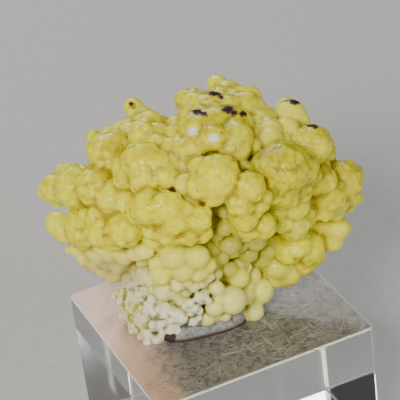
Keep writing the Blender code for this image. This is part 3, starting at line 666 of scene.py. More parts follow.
def keep_largest(obj):
    """Drops the small closed bubbles that fusing leaves inside."""
    only(obj)
    bpy.ops.object.mode_set(mode="EDIT")
    bpy.ops.mesh.select_all(action="SELECT")
    bpy.ops.mesh.separate(type="LOOSE")
    bpy.ops.object.mode_set(mode="OBJECT")
    bodies = sorted(bpy.context.selected_objects, key=lambda o: len(o.data.vertices))
    name = obj.name
    for small in bodies[:-1]:
        bpy.data.objects.remove(small)
    bodies[-1].name = name
    return only(bodies[-1])


CELLS_ROUND = [(x, y, z) for x in (-1, 0, 1) for y in (-1, 0, 1) for z in (-1, 0, 1)]


def picked(points, spacing, rng):
    """A random choice of points, none nearer to another than the spacing."""
    places = (points / spacing).tolist()
    grid, kept = {}, []
    for k in rng.permutation(len(points)):
        place = places[k]
        x, y, z = (int(value // 1.0) for value in place)
        cells = [(x + dx, y + dy, z + dz) for dx, dy, dz in CELLS_ROUND]
        near = [other for cell in cells for other in grid.get(cell, ())]
        if all(dist(place, other) > 1.0 for other in near):
            grid.setdefault((x, y, z), []).append(place)
            kept.append(k)
    return np.array(kept)


def bubbles(points, size):
    """Rounded bubbles of about this size: 1 at each one's middle, falling to 0 in the creases."""
    cells = np.floor(points / size)
    nearest = np.full(len(points), np.inf)
    for step in CELLS_ROUND:
        corner = cells + step
        seeds = np.sin(corner @ np.array(BUBBLE_SEEDS)) * BUBBLE_SPREAD
        middle = (corner + seeds - np.floor(seeds)) * size
        nearest = np.minimum(nearest, ((points - middle) ** 2).sum(1))
    return np.maximum(1.0 - nearest / size**2, 0.0)


def read_mesh(obj):
    """A piece's points and normals, in millimetres, and its edges."""
    mesh = obj.data
    points = np.empty(len(mesh.vertices) * 3, np.float32)
    normals = np.empty(len(mesh.vertices) * 3, np.float32)
    edges = np.empty(len(mesh.edges) * 2, np.int32)
    mesh.vertices.foreach_get("co", points)
    mesh.vertex_normals.foreach_get("vector", normals)
    mesh.edges.foreach_get("vertices", edges)
    points = points.reshape(-1, 3).astype(float) / MM
    return points, normals.reshape(-1, 3).astype(float), edges.reshape(-1, 2)


def skin_arrays(obj):
    """A skin's points, normals and triangles, in millimetres; the object itself is removed."""
    points, normals, _ = read_mesh(obj)
    obj.data.calc_loop_triangles()
    faces = np.empty(len(obj.data.loop_triangles) * 3, np.int32)
    obj.data.loop_triangles.foreach_get("vertices", faces)
    bpy.data.objects.remove(obj)
    return points, normals, faces.reshape(-1, 3)


def roots_of(name, centres):
    """Where the knobs' stems lead: the crown's heart, the root's axis at their own height, or straight back."""
    if name == "recess":
        return centres - TOWARD * RECESS_STEM
    if name not in ROOT_GROUPS:
        return np.tile(on_block(HEART), (len(centres), 1))
    ends = np.tile(on_block(ROOT_CENTRE), (len(centres), 1))
    ends[:, 2] = centres[:, 2]
    return ends


def grown_lobe(name, centres, radii, grid, shape, bead, bar, rng):
    """One lobe: its knobs on their stems are fused and rounded over, then bumps and bubbles grow on it."""
    soft, spacing, size, proud, bubble, fine = LOBE_LOOKS[name][1]
    ends = centres + (roots_of(name, centres) - centres) * STEM_REACH
    parts = [balls(shape, centres, radii), rods(bar, centres, ends, STEM_SIZE * radii)]
    lobe = mesh_object(name, *joined(parts))
    rough_grid = ROUGH_GRID * grid
    fuse(lobe, rough_grid, max(1, round((2.0 * soft * MM / rough_grid) ** 2)))
    points, normals, faces = skin_arrays(lobe)
    chosen = rng.permutation(len(points))[: len(points) // BUMP_SHARE]
    chosen = chosen[picked(points[chosen], spacing, rng)]
    size = size * rng.uniform(*BUMP_SIZE, len(chosen))
    proud = proud * rng.uniform(*BUMP_PROUD, len(chosen))
    bumps = points[chosen] + normals[chosen] * (proud - size)[:, None]
    lobe = mesh_object(name, *joined([(points, faces), balls(bead, bumps, size)]))
    fuse(lobe, grid, 1)
    points, normals, faces = skin_arrays(lobe)
    return points + normals * (fine * (bubbles(points, bubble) - 0.5))[:, None], faces


# ---- where the colours go

# Blobs on the best side, each across, rise, half width, half height
DARK_CRUSTS = [
    (-0.65, 14.9, 0.64, 0.58), (0.8, 14.4, 0.46, 0.46), (2.4, 17.8, 0.95, 0.42), (3.5, 17.1, 0.38, 0.28),
    (4.7, 15.1, 0.85, 0.56), (5.7, 14.5, 0.5, 0.46), (7.2, 14.4, 0.55, 0.46), (-11.5, 16.1, 0.34, 0.28),
    (15.9, 16.4, 0.8, 0.42), (18.5, 12.6, 0.8, 0.38), (19.2, 12.2, 0.45, 0.32), (19.9, -4, 0.6, 0.5),
]
RUST_SPOTS = [
    (-1.2, 15.1, 0.5, 0.5), (1.4, 17.9, 0.6, 0.4), (3.8, 15.4, 0.5, 0.5), (14.9, 16.6, 1.2, 0.5),
    (-11.2, 15.7, 0.6, 0.5), (-8.7, -0.9, 0.4, 0.22), (1.9, 11.3, 0.3, 0.26), (3.6, 11.2, 0.26, 0.24),
    (-14.8, -16.8, 0.3, 0.3),
]
SHADY_GAPS = [
    (0.3, 7.2, 0.5, 0.35), (-11.7, 0.8, 0.45, 0.35), (8, 6.1, 0.35, 0.45), (2.9, -2.7, 0.4, 0.5),
    (2.5, -5.5, 0.35, 0.45), (7.3, -7.5, 0.45, 0.4), (-7.5, -8.8, 0.5, 0.35), (4, -13.6, 0.45, 0.4),
    (1, -17.1, 0.35, 0.7), (-8.8, -17.2, 0.85, 0.75), (-7.6, -22.3, 0.8, 0.5), (-12.6, -16.4, 0.7, 0.7),
    (-1.6, -16.4, 0.6, 0.5), (-10.6, -20.4, 0.6, 0.5), (0.9, -0.4, 0.6, 0.22), (6.7, -9.2, 0.35, 0.35),
]
WHITE_CHIPS = [(-1.3, 11.4, 1.05, 0.90), (2.3, 10.3, 1.05, 0.95)]

# Specks on the best side, each across, rise
SPECKS = [
    (0.5, 15.8), (3.8, 12.3), (5.4, 13.9), (-21.1, -2.2), (-13.9, 3.1), (-12.3, 10.5), (-10.2, 9.7),
    (-13, 9.2), (-13.5, 7), (-11, -3.1), (-10.5, -4.2), (-10.8, 1.8), (-0.4, 1.5), (0.3, 0.3), (10.9, -2.3),
    (15.3, -6.4),
]
BLOB_REACH = 3.0
BLOB_DEPTH = 2.0

# The underside of the lower left lobes that gets brownish painted shade, each limit a place and how softly it
# ends
TAN_BELOW = (-8.8, 2.4)
TAN_LEFT_OF = (-9.0, 2.0)
TAN_ABOVE = (-15.5, 2.0)
TAN_DEPTH = 0.85

# How far points are evened out to find bumps, and to find gaps; then how much painted shade the undersides get
BUMP_REACH = 0.55
GAP_REACH = 1.6
SHADE_BELOW = 0.4

# Share of the old skin's colour on steep faces, and how much more of it the upward ones have
OLD_AT_SIDES = 0.45
OLD_ON_TOP = 0.75

TONE_BLEND = 0.45
TONE_CELL = 5.0
TONE_REACH = 1.6
MOST_TRIANGLES = 196000


def spread(values, edges, count, rounds):
    """Values evened out between neighbouring points."""
    a, b = edges.T
    links = np.bincount(a, minlength=count) + np.bincount(b, minlength=count)
    values = values.copy()
    for _ in range(rounds):
        for column in values.T:
            total = np.bincount(a, column[b], count) + np.bincount(b, column[a], count)
            column += 0.5 * (total / links - column)
    return values


def write(obj, name, values):
    """Stores a number, or four numbers, at each point of a piece."""
    kind, field = ("FLOAT", "value") if values.ndim == 1 else ("FLOAT_COLOR", "color")
    layer = obj.data.attributes.new(name, kind, "POINT")
    layer.data.foreach_set(field, values.astype(np.float32).ravel())


def blob_field(points, places):
    """How deep each point lies in flat blobs on the best side: 1 at a middle, 0 at an edge, then below."""
    across, rise, toward = as_seen(points)
    field = np.full(len(points), -BLOB_REACH)
    for x, y, wide, high in places:
        far = np.hypot((across - x) / wide, (rise - y) / high)
        near = np.flatnonzero(far < BLOB_REACH)
        if len(near):
            inside = near[far[near] < 1.0]
            front = toward[inside].max() if len(inside) else toward[near].max()
            shift = np.maximum(front - toward[near] - BLOB_DEPTH * wide, 0.0)
            field[near] = np.maximum(field[near], 1.0 - far[near] - shift)
    return field


def tone_of(points, centres, radii, names):
    """The lobes' colouring at each point, mixed where knobs meet."""
    tones = np.array([LOBE_LOOKS[name][0] for name in names])
    result = np.empty((len(points), tones.shape[1]))
    cells, owner = np.unique(np.floor(points / TONE_CELL), axis=0, return_inverse=True)
    order = np.argsort(owner.ravel(), kind="stable")
    ends = np.cumsum(np.bincount(owner.ravel()))
    for cell, part in zip(cells, np.split(order, ends[:-1])):
        middle = (cell + 0.5) * TONE_CELL
        near = np.linalg.norm(centres - middle, axis=1) - radii < TONE_REACH * TONE_CELL
        gap = np.linalg.norm(points[part][:, None] - centres[near], axis=2) - radii[near]
        weight = np.exp(-(gap - gap.min(1, keepdims=True)) / TONE_BLEND)
        result[part] = weight @ tones[near] / weight.sum(1, keepdims=True)
    return result


class Socket:
    """An output of a shader node that Python's operators work on."""

    def __init__(self, finish, link):
        self.finish = finish
        self.link = link

    def maths(self, operation, *values, clamp=False):
        """A Math node on these values."""
        settings = {"operation": operation, "use_clamp": clamp}
        return self.finish.node("ShaderNodeMath", settings, dict(enumerate(values)))

    def __add__(self, other):
        return self.maths("ADD", self, other)

    def __sub__(self, other):
        return self.maths("SUBTRACT", self, other)

    def __rsub__(self, other):
        return self.maths("SUBTRACT", other, self)

    def __mul__(self, other):
        return self.maths("MULTIPLY", self, other)

    __radd__ = __add__
    __rmul__ = __mul__

    def clamped(self):
        """The value kept between 0 and 1."""
        return self.maths("ADD", self, 0.0, clamp=True)

    def size(self):
        """The value without its sign."""
        return self.maths("ABSOLUTE", self)

    def at_least(self, other):
        """The larger of two values."""
        return self.maths("MAXIMUM", self, other)

    def over(self, low, high):
        """0 at low, 1 at high, and between them in between."""
        settings = {"interpolation_type": "SMOOTHSTEP"}
        return self.finish.node("ShaderNodeMapRange", settings, {0: self, 1: low, 2: high, 3: 0.0, 4: 1.0})

    def also(self, name):
        """Another output of the same node."""
        return Socket(self.finish, self.link.node.outputs[name])


class Finish:
    """A material while its nodes are put together."""

    def __init__(self, name):
        self.material = bpy.data.materials.new(name)
        self.material.use_nodes = True
        self.tree = self.material.node_tree
        self.tree.nodes.clear()

    def node(self, kind, settings=None, values=None, output=0):
        """Adds a node: its settings first, then the values or links of its sockets."""
        made = self.tree.nodes.new(kind)
        for key, value in (settings or {}).items():
            setattr(made, key, value)
        for key, value in (values or {}).items():
            if isinstance(value, Socket):
                self.tree.links.new(value.link, made.inputs[key])
            else:
                made.inputs[key].default_value = value
        return Socket(self, made.outputs[output]) if len(made.outputs) else None

    def place(self):
        """The place on the object."""
        return self.node("ShaderNodeTexCoord", output="Object")

    def stored(self, name, output="Fac"):
        """A value stored at the piece's points."""
        return self.node("ShaderNodeAttribute", {"attribute_name": name}, output=output)

    def noise(self, size, detail, rough, warp=0.0):
        """Soft noise whose lumps are this many millimetres wide."""
        values = {"Vector": self.place(), "Scale": 1.0 / (size * MM), "Detail": detail}
        values.update({"Roughness": rough, "Distortion": warp})
        return self.node("ShaderNodeTexNoise", {}, values)

    def knobs(self, size):
        """Rounded knobs this many millimetres apart: 1 at the middle of each and less toward its edge."""
        values = {"Vector": self.place(), "Scale": 1.0 / (size * MM)}
        far = self.node("ShaderNodeTexVoronoi", {"feature": "F1"}, values, output="Distance")
        return 1.0 - far * far

    def mix(self, amount, first, second):
        """The second colour over the first, by an amount."""
        settings = {"data_type": "RGBA", "clamp_factor": True}
        first, second = (c if isinstance(c, Socket) else rgba(c) for c in (first, second))
        return self.node("ShaderNodeMix", settings, {0: amount, 6: first, 7: second}, output=2)

    def bump(self, height, depth):
        """Relief of this many millimetres."""
        return self.node("ShaderNodeBump", {}, {"Height": height, "Distance": depth * MM, "Strength": 1.0})

    def principled(self, values):
        """A surface with these settings."""
        return self.node("ShaderNodeBsdfPrincipled", {}, values)

    def done(self, shader):
        """Ends the material with this shader."""
        end = self.tree.nodes.new("ShaderNodeOutputMaterial")
        self.tree.links.new(shader.link, end.inputs["Surface"])
        return self.material


def rgba(colour):
    """A colour that covers fully."""
    return (*colour, 1.0)


# ---- finishes

# Middle values of the two patterns of knobs
KNOB_LEVEL, CRYSTAL_LEVEL = 0.72, 0.74

# Where the acrylic's bands begin and end, in millimetres from its faces: the film on the top, the frosted
# edges, the sawn front with its own top edge, and the scuffed foot
FILM_BAND = (0.12, 0.02)
EDGE_BAND = (0.32, 0.05)
SAWN_BAND = 1.1
SAWN_TOP = (0.5, 0.1)
FOOT_BAND = (0.9, 0.1)

# Tan stains on the block's top: place on its two axes
STAINS = [(-15.3, 8.0), (-17.0, 6.6), (-17.3, -13.4), (-16.2, -16.0)]


def opal_finish(name, look, glow_depth):
    """Waxy opal: yellow on the lobes, olive on old skin, white and sugary at the root, with painted shade in
    its creases and undersides and painted highlights on its bumps.
    """
    f = Finish(name)
    tone = f.stored("tone", "Color")
    parts = f.node("ShaderNodeSeparateColor", {}, {0: tone}, "Red")
    pale, olive, white = parts, parts.also("Green"), parts.also("Blue")
    green = tone.also("Alpha")
    marks = f.stored("spots", "Color")
    spots = f.node("ShaderNodeSeparateColor", {}, {0: marks}, "Red")
    dark, chip, rust, shady = spots, spots.also("Green"), spots.also("Blue"), marks.also("Alpha")
    tan = f.stored("tan")
    relief = f.stored("relief")
    hollow = f.stored("hollow")

    broad = f.noise(6.0, 3.0, 0.55)
    mottle = f.noise(1.6, 3.0, 0.6, 0.4)
    fine = f.noise(0.45, 3.0, 0.65)

    knob = f.knobs(1.25)
    crystal = f.knobs(0.6)
    knobby = (1.0 - pale) * (1.0 - green) * (1.0 - white)

    # Painted shade: deep yellow in the hollows, on the undersides and round the small knobs' edges.
    depth = relief * -0.6 + hollow * 0.5 + (mottle - 0.5) * 0.9
    low = (depth + (broad - 0.5) * 0.7 + (KNOB_LEVEL - knob) * knobby * 1.1).over(-0.10, 0.75)
    # Painted highlight: pale yellow on the tops of the bumps and knobs.
    high = ((fine - 0.5) * 0.4 - depth + (knob - KNOB_LEVEL) * knobby * 1.1).over(0.15, 0.95)
    base = f.mix(low, look.yellow, look.shade_amber)
    base = f.mix(high, base, look.highlight_lemon)
    aged = mottle * 0.7 + broad * 0.7 + low * 0.5 + (KNOB_LEVEL - knob) * 0.9 + 0.05
    skin = (olive * aged).clamped()
    base = f.mix(skin, base, f.mix(fine.over(0.4, 0.7), look.olive, look.moss))
    base = f.mix(pale * (0.75 + (mottle - 0.5) * 0.6), base, look.cream)
    base = f.mix(green * (0.8 + (mottle - 0.5) * 0.6), base, look.green)
    # Painted shade on the root: each bead fades from white at its top to a dark crease colour at its base.
    pits = depth * 1.5 + (CRYSTAL_LEVEL - crystal) * 0.4 + (mottle - 0.5) * 0.4 + olive * 0.3
    pits = pits.over(-0.6, 0.75)
    sugar = f.mix(pits, look.white, f.mix(olive * 2.0, look.root_crease_shade, look.olive))
    base = f.mix(white, base, sugar)
    # Brownish painted shade under the lower left lobes
    base = f.mix(tan * (0.65 + (mottle - 0.5) * 0.8), base, look.tan)
    ragged = (f.noise(0.4, 4.0, 0.75, 0.8) - 0.5) * 2.2 + 0.2
    base = f.mix((chip + ragged * 0.8).over(0.0, 0.7), base, look.chip)
    base = f.mix((rust + ragged).over(-0.1, 0.5) * 0.8, base, look.rust)
    # Painted shade, near black, in the gaps between knobs and deep in the hollows
    base = f.mix((shady + hollow + (fine - 0.5) * 1.2).over(-0.4, 0.9) * 0.8, base, look.shade)
    base = f.mix((dark + ragged + 0.3).over(-0.05, 0.25) * 0.65, base, look.rust)
    crust = (dark + ragged + (fine - 0.5) * 1.2 - 0.05).over(-0.05, 0.2)

    grain = f.noise(0.35, 3.0, 0.6) * 0.6 + f.noise(0.14, 2.0, 0.5) * 0.25
    grain = grain * (0.25 + white + olive * 0.6) + mottle * 0.5
    crusty = knobby * broad.over(0.42, 0.62)
    normal = f.bump(grain + knob * knobby * 2.6 + crystal * (crusty * 0.9 + white * 1.4), 0.10)
    rough = 0.18 + (fine - 0.5) * 0.2 + white * 0.28 + olive * 0.10 - green * 0.06
    shader = f.principled(
        {
            "Base Color": base,
            "Roughness": rough,
            "Normal": normal,
            "IOR": 1.45,
            "Specular IOR Level": 0.34,
            "Subsurface Weight": look.glow,
            "Subsurface Radius": (1.0, 0.85, 0.28),
            "Subsurface Scale": glow_depth,
        }
    )
    matte = f.principled(
        {
            "Base Color": rgba(look.crust),
            "Roughness": 0.8,
            "Normal": f.bump(fine, 0.2),
            "Specular IOR Level": 0.2,
        }
    )
    return f.done(f.node("ShaderNodeMixShader", {}, {0: crust, 1: shader, 2: matte}))


def slip_finish(look):
    """Grey host rock with a thin brown rim and a dark pocket at one end."""
    f = Finish("grey_host_rock")
    height = f.node("ShaderNodeSeparateXYZ", {}, {0: f.place()}, "Z")
    mottle = f.noise(1.1, 4.0, 0.6, 0.5)
    fine = f.noise(0.3, 3.0, 0.7)
    # Grey host rock, darkened as painted shade from the cluster above
    base = f.mix(mottle.over(0.35, 0.65), look.rock, look.rock_dark)
    rim = (height + (mottle - 0.5) * 0.0010 - BLOCK_HEIGHT * MM).over(0.0011, 0.0004)
    base = f.mix(rim, base, look.rim)
    base = f.mix((f.stored("pocket") * 1.6 + (fine - 0.5)).over(0.2, 0.7), base, look.pocket)
    base = f.mix(fine.over(0.62, 0.78) * 0.5, base, look.white)
    normal = f.bump(fine * 0.6 + mottle, 0.15)
    return f.done(f.principled({"Base Color": base, "Roughness": 0.6 + (fine - 0.5) * 0.3, "Normal": normal}))


def acrylic_finish(look):
    """Clear acrylic whose top is dulled by handling; the dull film is painted lighter and warmer at the left as
    if lit, and darker at the right as painted shade.
    """
    f = Finish("clear_worn_acrylic")
    place = f.place()
    axes = f.node("ShaderNodeSeparateXYZ", {}, {0: place}, "X")
    x, y, z = axes, axes.also("Y"), axes.also("Z")
    top = z.over((BLOCK_HEIGHT - FILM_BAND[0]) * MM, (BLOCK_HEIGHT - FILM_BAND[1]) * MM)
    cloud = f.noise(5.0, 3.0, 0.6, 0.3)
    mottle = f.noise(1.1, 4.0, 0.7, 0.8)
    fine = f.noise(0.25, 3.0, 0.7)
    # The top's dull film is painted light and warm at the left and painted shade at the right
    left = (x - y * 0.1 + (cloud - 0.5) * 0.008).over(-0.0085, -0.0175)
    film = f.mix(left, look.film_shaded, look.film_lit)
    worn = mottle * 0.75 + fine * 0.25
    film = f.mix(worn.over(0.45, 0.60) * (1.0 - left * 0.85) * 0.75, film, look.film_dark)
    for side, back in STAINS:
        middle = (side * MM, back * MM, BLOCK_HEIGHT * MM)
        far = f.node("ShaderNodeVectorMath", {"operation": "DISTANCE"}, {0: place, 1: middle}, 1)
        stain = (far * -1.0 + (mottle - 0.5) * 0.004).over(-0.0024, -0.0008) * 0.3
        film = f.mix(stain, film, look.rust)
    haze = ((0.86 + left * 0.10 + (cloud - 0.5) * 0.3 + (mottle - 0.5) * 0.3) * top).clamped()
    middle = z - BLOCK_HEIGHT * MM / 2
    sides = []
    for value, size in ((x, BLOCK_WIDTH), (y, BLOCK_DEPTH), (middle, BLOCK_HEIGHT)):
        sides.append(value.size().over((size / 2 - EDGE_BAND[0]) * MM, (size / 2 - EDGE_BAND[1]) * MM))
    edge = sides[0] * sides[1] + sides[1] * sides[2] + sides[2] * sides[0]
    sawn = (y * -1.0).over((BLOCK_DEPTH / 2 - SAWN_BAND) * MM, BLOCK_DEPTH / 2 * MM)
    edge = edge + sawn * z.over((BLOCK_HEIGHT - SAWN_TOP[0]) * MM, (BLOCK_HEIGHT - SAWN_TOP[1]) * MM) * 0.6
    foot = z.over(FOOT_BAND[0] * MM, FOOT_BAND[1] * MM) * (sides[0] + sides[1])
    edge = edge + foot * 0.5
    frost = (edge * 1.3 + (fine - 0.5) * 1.2 + (mottle - 0.5) * 1.2).over(0.55, 0.85) * edge.over(0.0, 0.1)
    film = f.mix(frost, film, look.frost)
    haze = haze.at_least(frost)
    clear = f.principled(
        {
            "Base Color": rgba((0.97, 0.98, 0.98)),
            "Roughness": 0.02 + top * 0.10 * fine,
            "IOR": 1.49,
            "Transmission Weight": 1.0,
            "Normal": f.bump(mottle * 0.5 + fine * 0.5, 0.004),
        }
    )
    dull = f.principled({"Base Color": film, "Roughness": 0.38, "IOR": 1.49, "Normal": f.bump(fine, 0.02)})
    return f.done(f.node("ShaderNodeMixShader", {}, {0: haze, 1: clear, 2: dull}))


def plain_finish(name, colour, rough, grain):
    """A dull surface with a little grain."""
    f = Finish(name)
    speck = f.noise(grain, 3.0, 0.6)
    base = f.mix((speck - 0.5) * 0.5 + 0.25, colour, [c * 0.7 for c in colour])
    return f.done(f.principled({"Base Color": base, "Roughness": rough, "Normal": f.bump(speck, grain * 0.1)}))


# ---- settings


def colour(name, value, text):
    """A colour to choose."""
    return FloatVectorProperty(
        name=name, description=text, default=value, size=3, subtype="COLOR", min=0.0, max=1.0
    )


def small_length(name, value, text, least=0.0):
    """A small length to set."""
    return FloatProperty(name=name, description=text, default=value, min=least, unit="LENGTH", precision=5)


def lamp_power(name, value, text):
    """A lamp's power to set."""
    return FloatProperty(name=name, description=text, default=value, min=0.0, unit="POWER")


class ClusterLook(bpy.types.PropertyGroup):
    """The cluster's grid and colours."""

    crown_grid: small_length("Crown grid", 0.25 * MM, "Grid the crown's lobes are fused on", 0.1 * MM)
    root_grid: small_length("Root grid", 0.19 * MM, "Grid the root's grains are fused on", 0.1 * MM)
    yellow: colour("Yellow", (0.84, 0.76, 0), "Fresh lobes")
    # Painted highlight on the tops of the bumps
    highlight_lemon: colour("Lemon", (0.95, 0.93, 0.02), "Tops of the bumps")
    # Painted shade between lobes and on undersides
    shade_amber: colour("Amber", (0.52, 0.385, 0), "Depths between lobes")
    olive: colour("Olive", (0.5, 0.45, 0.015), "Old skin")
    moss: colour("Moss", (0.26, 0.21, 0.008), "Darker old skin")
    cream: colour("Cream", (0.96, 0.95, 0.2), "Pale lobes")
    green: colour("Green", (0.44, 0.42, 0.04), "Glassy bulbs in the recess")
    white: colour("White", (0.96, 0.95, 0.68), "Sugary root")
    # Painted shade in the root's creases
    root_crease_shade: colour("Straw", (0.25, 0.23, 0.055), "Creases of the root")
    # Brownish painted shade under the lower left lobes
    tan: colour("Tan", (0.5, 0.37, 0.22), "Underside stain")
    chip: colour("Chip", (0.95, 0.93, 0.8), "Bruised spots")
    rust: colour("Rust", (0.27, 0.10, 0.03), "Edges of the crusts")
    shade: colour("Shade", (0.05, 0.045, 0.01), "Shady gaps between knobs")
    crust: colour("Crust", (0.022, 0.018, 0.016), "Dark crusts")
    # Host rock grey, darkened as painted shade from the cluster above
    rock: colour("Rock", (0.36, 0.39, 0.385), "Host rock")
    rock_dark: colour("Dark rock", (0.18, 0.17, 0.15), "Darker host rock")
    rim: colour("Rim", (0.10, 0.045, 0.025), "Host rock's brown rim")
    pocket: colour("Pocket", (0.03, 0.018, 0.012), "Dark pocket at the host rock's end")
    glow: FloatProperty(name="Glow", description="Share of light that passes under the skin", default=0.85)
    crown_glow: small_length("Crown glow", 1.6 * MM, "How far light travels under the crown's skin")
    root_glow: small_length("Root glow", 0.4 * MM, "How far light travels under the root's skin")


class BlockLook(bpy.types.PropertyGroup):
    """The acrylic block's wear."""

    patches: IntProperty(name="Scratch patches", description="Scuffed patches of the top", default=130, min=0)
    scratches: IntProperty(name="Scratches", description="Fine scratches in a patch", default=10, min=0)
    chips: IntProperty(name="Chips", description="Chips along the rough top edge", default=40, min=0)
    # Painted light on the film at the left of the top
    film_lit: colour("Warm film", (0.84, 0.56, 0.43), "Film at the left of the top")
    # Painted shade on the film at the right of the top
    film_shaded: colour("Cool film", (0.255, 0.238, 0.218), "Film at the right of the top")
    film_dark: colour("Dark film", (0.03, 0.03, 0.03), "Worn blotches")
    frost: colour("Frost", (0.90, 0.90, 0.88), "Rough sawn edges")
    rust: colour("Stain", (0.42, 0.20, 0.08), "Tan stains on the top")


class StageLook(bpy.types.PropertyGroup):
    """The floor and the lights."""

    floor: colour("Floor", (0.6, 0.6, 0.59), "Floor")
    world: colour("Surroundings", (0.035, 0.035, 0.04), "Light from all round")
    tint: colour("Key tint", (1.0, 0.94, 0.84), "Colour of the main soft light")
    key: lamp_power("Key", 3.4, "Main soft light")
    fill: lamp_power("Fill", 1.1, "Soft light from the other side")
    rear: lamp_power("Rear", 2.0, "Soft light from behind")
    side: lamp_power("Side", 0.6, "Soft light from the left")


# ---- pieces


def slip_rings(levels):
    """The slip's rings as points and triangles, each level a height and how far its edge is moved out."""
    turns = 2.0 * pi * np.arange(SLIP_POINTS) / SLIP_POINTS
    wave = 1.0 + 0.02 * np.sin(3.0 * turns + 0.6) + 0.012 * np.sin(7.0 * turns)
    rings = []
    for height, reach in levels:
        x = (SLIP_HALF[0] * wave + reach) * np.sign(np.cos(turns)) * np.abs(np.cos(turns)) ** SLIP_SQUARE
        y = (SLIP_HALF[1] * wave + reach) * np.sign(np.sin(turns)) * np.abs(np.sin(turns)) ** SLIP_SQUARE
        side = SLIP_CENTRE[0] + x * cos(SLIP_TURN) - y * sin(SLIP_TURN)
        back = SLIP_CENTRE[1] + x * sin(SLIP_TURN) + y * cos(SLIP_TURN)
        rings.append(on_block(np.stack((side, back, np.full(SLIP_POINTS, height)), axis=1)))
    n, faces = SLIP_POINTS, []
    for row in range(len(levels) - 1):
        for k in range(n):
            a, b = row * n + k, row * n + (k + 1) % n
            faces += [(a, b, b + n), (a, b + n, a + n)]
    last = (len(levels) - 1) * n
    low, high = last + n, last + n + 1
    for k in range(n):
        following = (k + 1) % n
        faces += [(low, following, k), (high, last + k, last + following)]
    middles = np.array([rings[0].mean(0), rings[-1].mean(0)])
    return np.vstack(rings + [middles]), np.array(faces)


def kept_inside(points):
    """The points, with those that near a wall of the specimen's box eased in behind it."""
    low, high = np.array(CAD_BOX) / MM
    points = high - BOX_EASE - ease(high - BOX_EASE - points)
    return low + BOX_EASE + ease(points - low - BOX_EASE)


def ease(room):
    """Room left before a wall: as it is where there is some, and never less than the ease."""
    return np.where(room > 0.0, room, BOX_EASE * (np.exp(np.minimum(room, 0.0) / BOX_EASE) - 1.0))


def grown_piece(name, parts, grid):
    """Fuses the lobes into one skin and seats it on the slip and the block."""
    points, faces = joined(parts)
    piece = mesh_object(name, kept_inside(points), faces)
    fuse(piece, grid)
    piece = keep_largest(piece)
    apply(piece, "SMOOTH", factor=0.5, iterations=1)
    levels = [(SLIP_CUT, SLIP_GAP), (SLIP_RIM, SLIP_GAP), (SLIP_HEIGHT + SLIP_GAP, SLIP_GAP - SLIP_LEAN)]
    cut_away(piece, mesh_object("cutter", *slip_rings(levels)))
    only()
    middle = BLOCK_HEIGHT + SEAT_GAP - SEAT_CUT / 2.0
    bpy.ops.mesh.primitive_cube_add(size=SEAT_CUT, location=(0.0, 0.0, middle))
    bpy.ops.object.transform_apply(location=True)
    cut_away(piece, mesh_object("cutter", *arrays_of(bpy.context.object)))
    return keep_largest(piece)


def colour_cluster(piece, centres, radii, names, grid):
    """Stores where a piece is pale, olive, white and spotted, where its bumps get painted highlights, and where
    it gets painted shade: in its hollows, on its undersides and under the lower left lobes.
    """
    points, normals, edges = read_mesh(piece)
    step = grid / MM
    near = spread(points, edges, len(points), round((BUMP_REACH / step) ** 2))
    relief = ((points - near) * normals).sum(1)
    wide = spread(near, edges, len(points), round((GAP_REACH / step) ** 2))
    hollow = ((wide - points) * normals).sum(1)
    # Bumps get painted highlights; hollows and undersides get painted shade
    write(piece, "relief", np.clip(relief / (2.0 * relief.std()), -1.0, 1.0))
    hollow = hollow / (2.0 * hollow.std()) - SHADE_BELOW * normals[:, 2]
    write(piece, "hollow", np.clip(hollow, -1.0, 1.0))
    tone = tone_of(points, centres, radii, names)
    tone[:, 1] *= OLD_AT_SIDES + OLD_ON_TOP * np.clip(normals[:, 2] + 0.1, 0.0, 1.0)
    write(piece, "tone", np.clip(tone, 0.0, 1.0))
    spots = [blob_field(points, places) for places in (DARK_CRUSTS, WHITE_CHIPS, RUST_SPOTS, SHADY_GAPS)]
    write(piece, "spots", np.stack(spots, axis=1))
    # Where the lower left lobes get their brownish painted shade
    across, rise, _ = as_seen(points)
    tan = np.full(len(points), TAN_DEPTH)
    for room, soft in (
        (TAN_BELOW[0] - rise, TAN_BELOW[1]),
        (TAN_LEFT_OF[0] - across, TAN_LEFT_OF[1]),
        (rise - TAN_ABOVE[0], TAN_ABOVE[1]),
    ):
        tan = tan * np.clip(room / soft, 0.0, 1.0)
    write(piece, "tan", tan)
    piece.data.calc_loop_triangles()
    if len(piece.data.loop_triangles) > MOST_TRIANGLES:
        apply(piece, "DECIMATE", ratio=MOST_TRIANGLES / len(piece.data.loop_triangles))
    piece.data.shade_smooth()


def put_down(piece, finish, slot, *nodes):
    """Gives a finished piece its material and ties it to the model."""
    piece.data.materials.clear()
    piece.data.materials.append(finish)
    piece.data.polygons.foreach_set("material_index", np.zeros(len(piece.data.polygons), np.int32))
    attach(piece, "root")
    if nodes:
        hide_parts(*nodes)


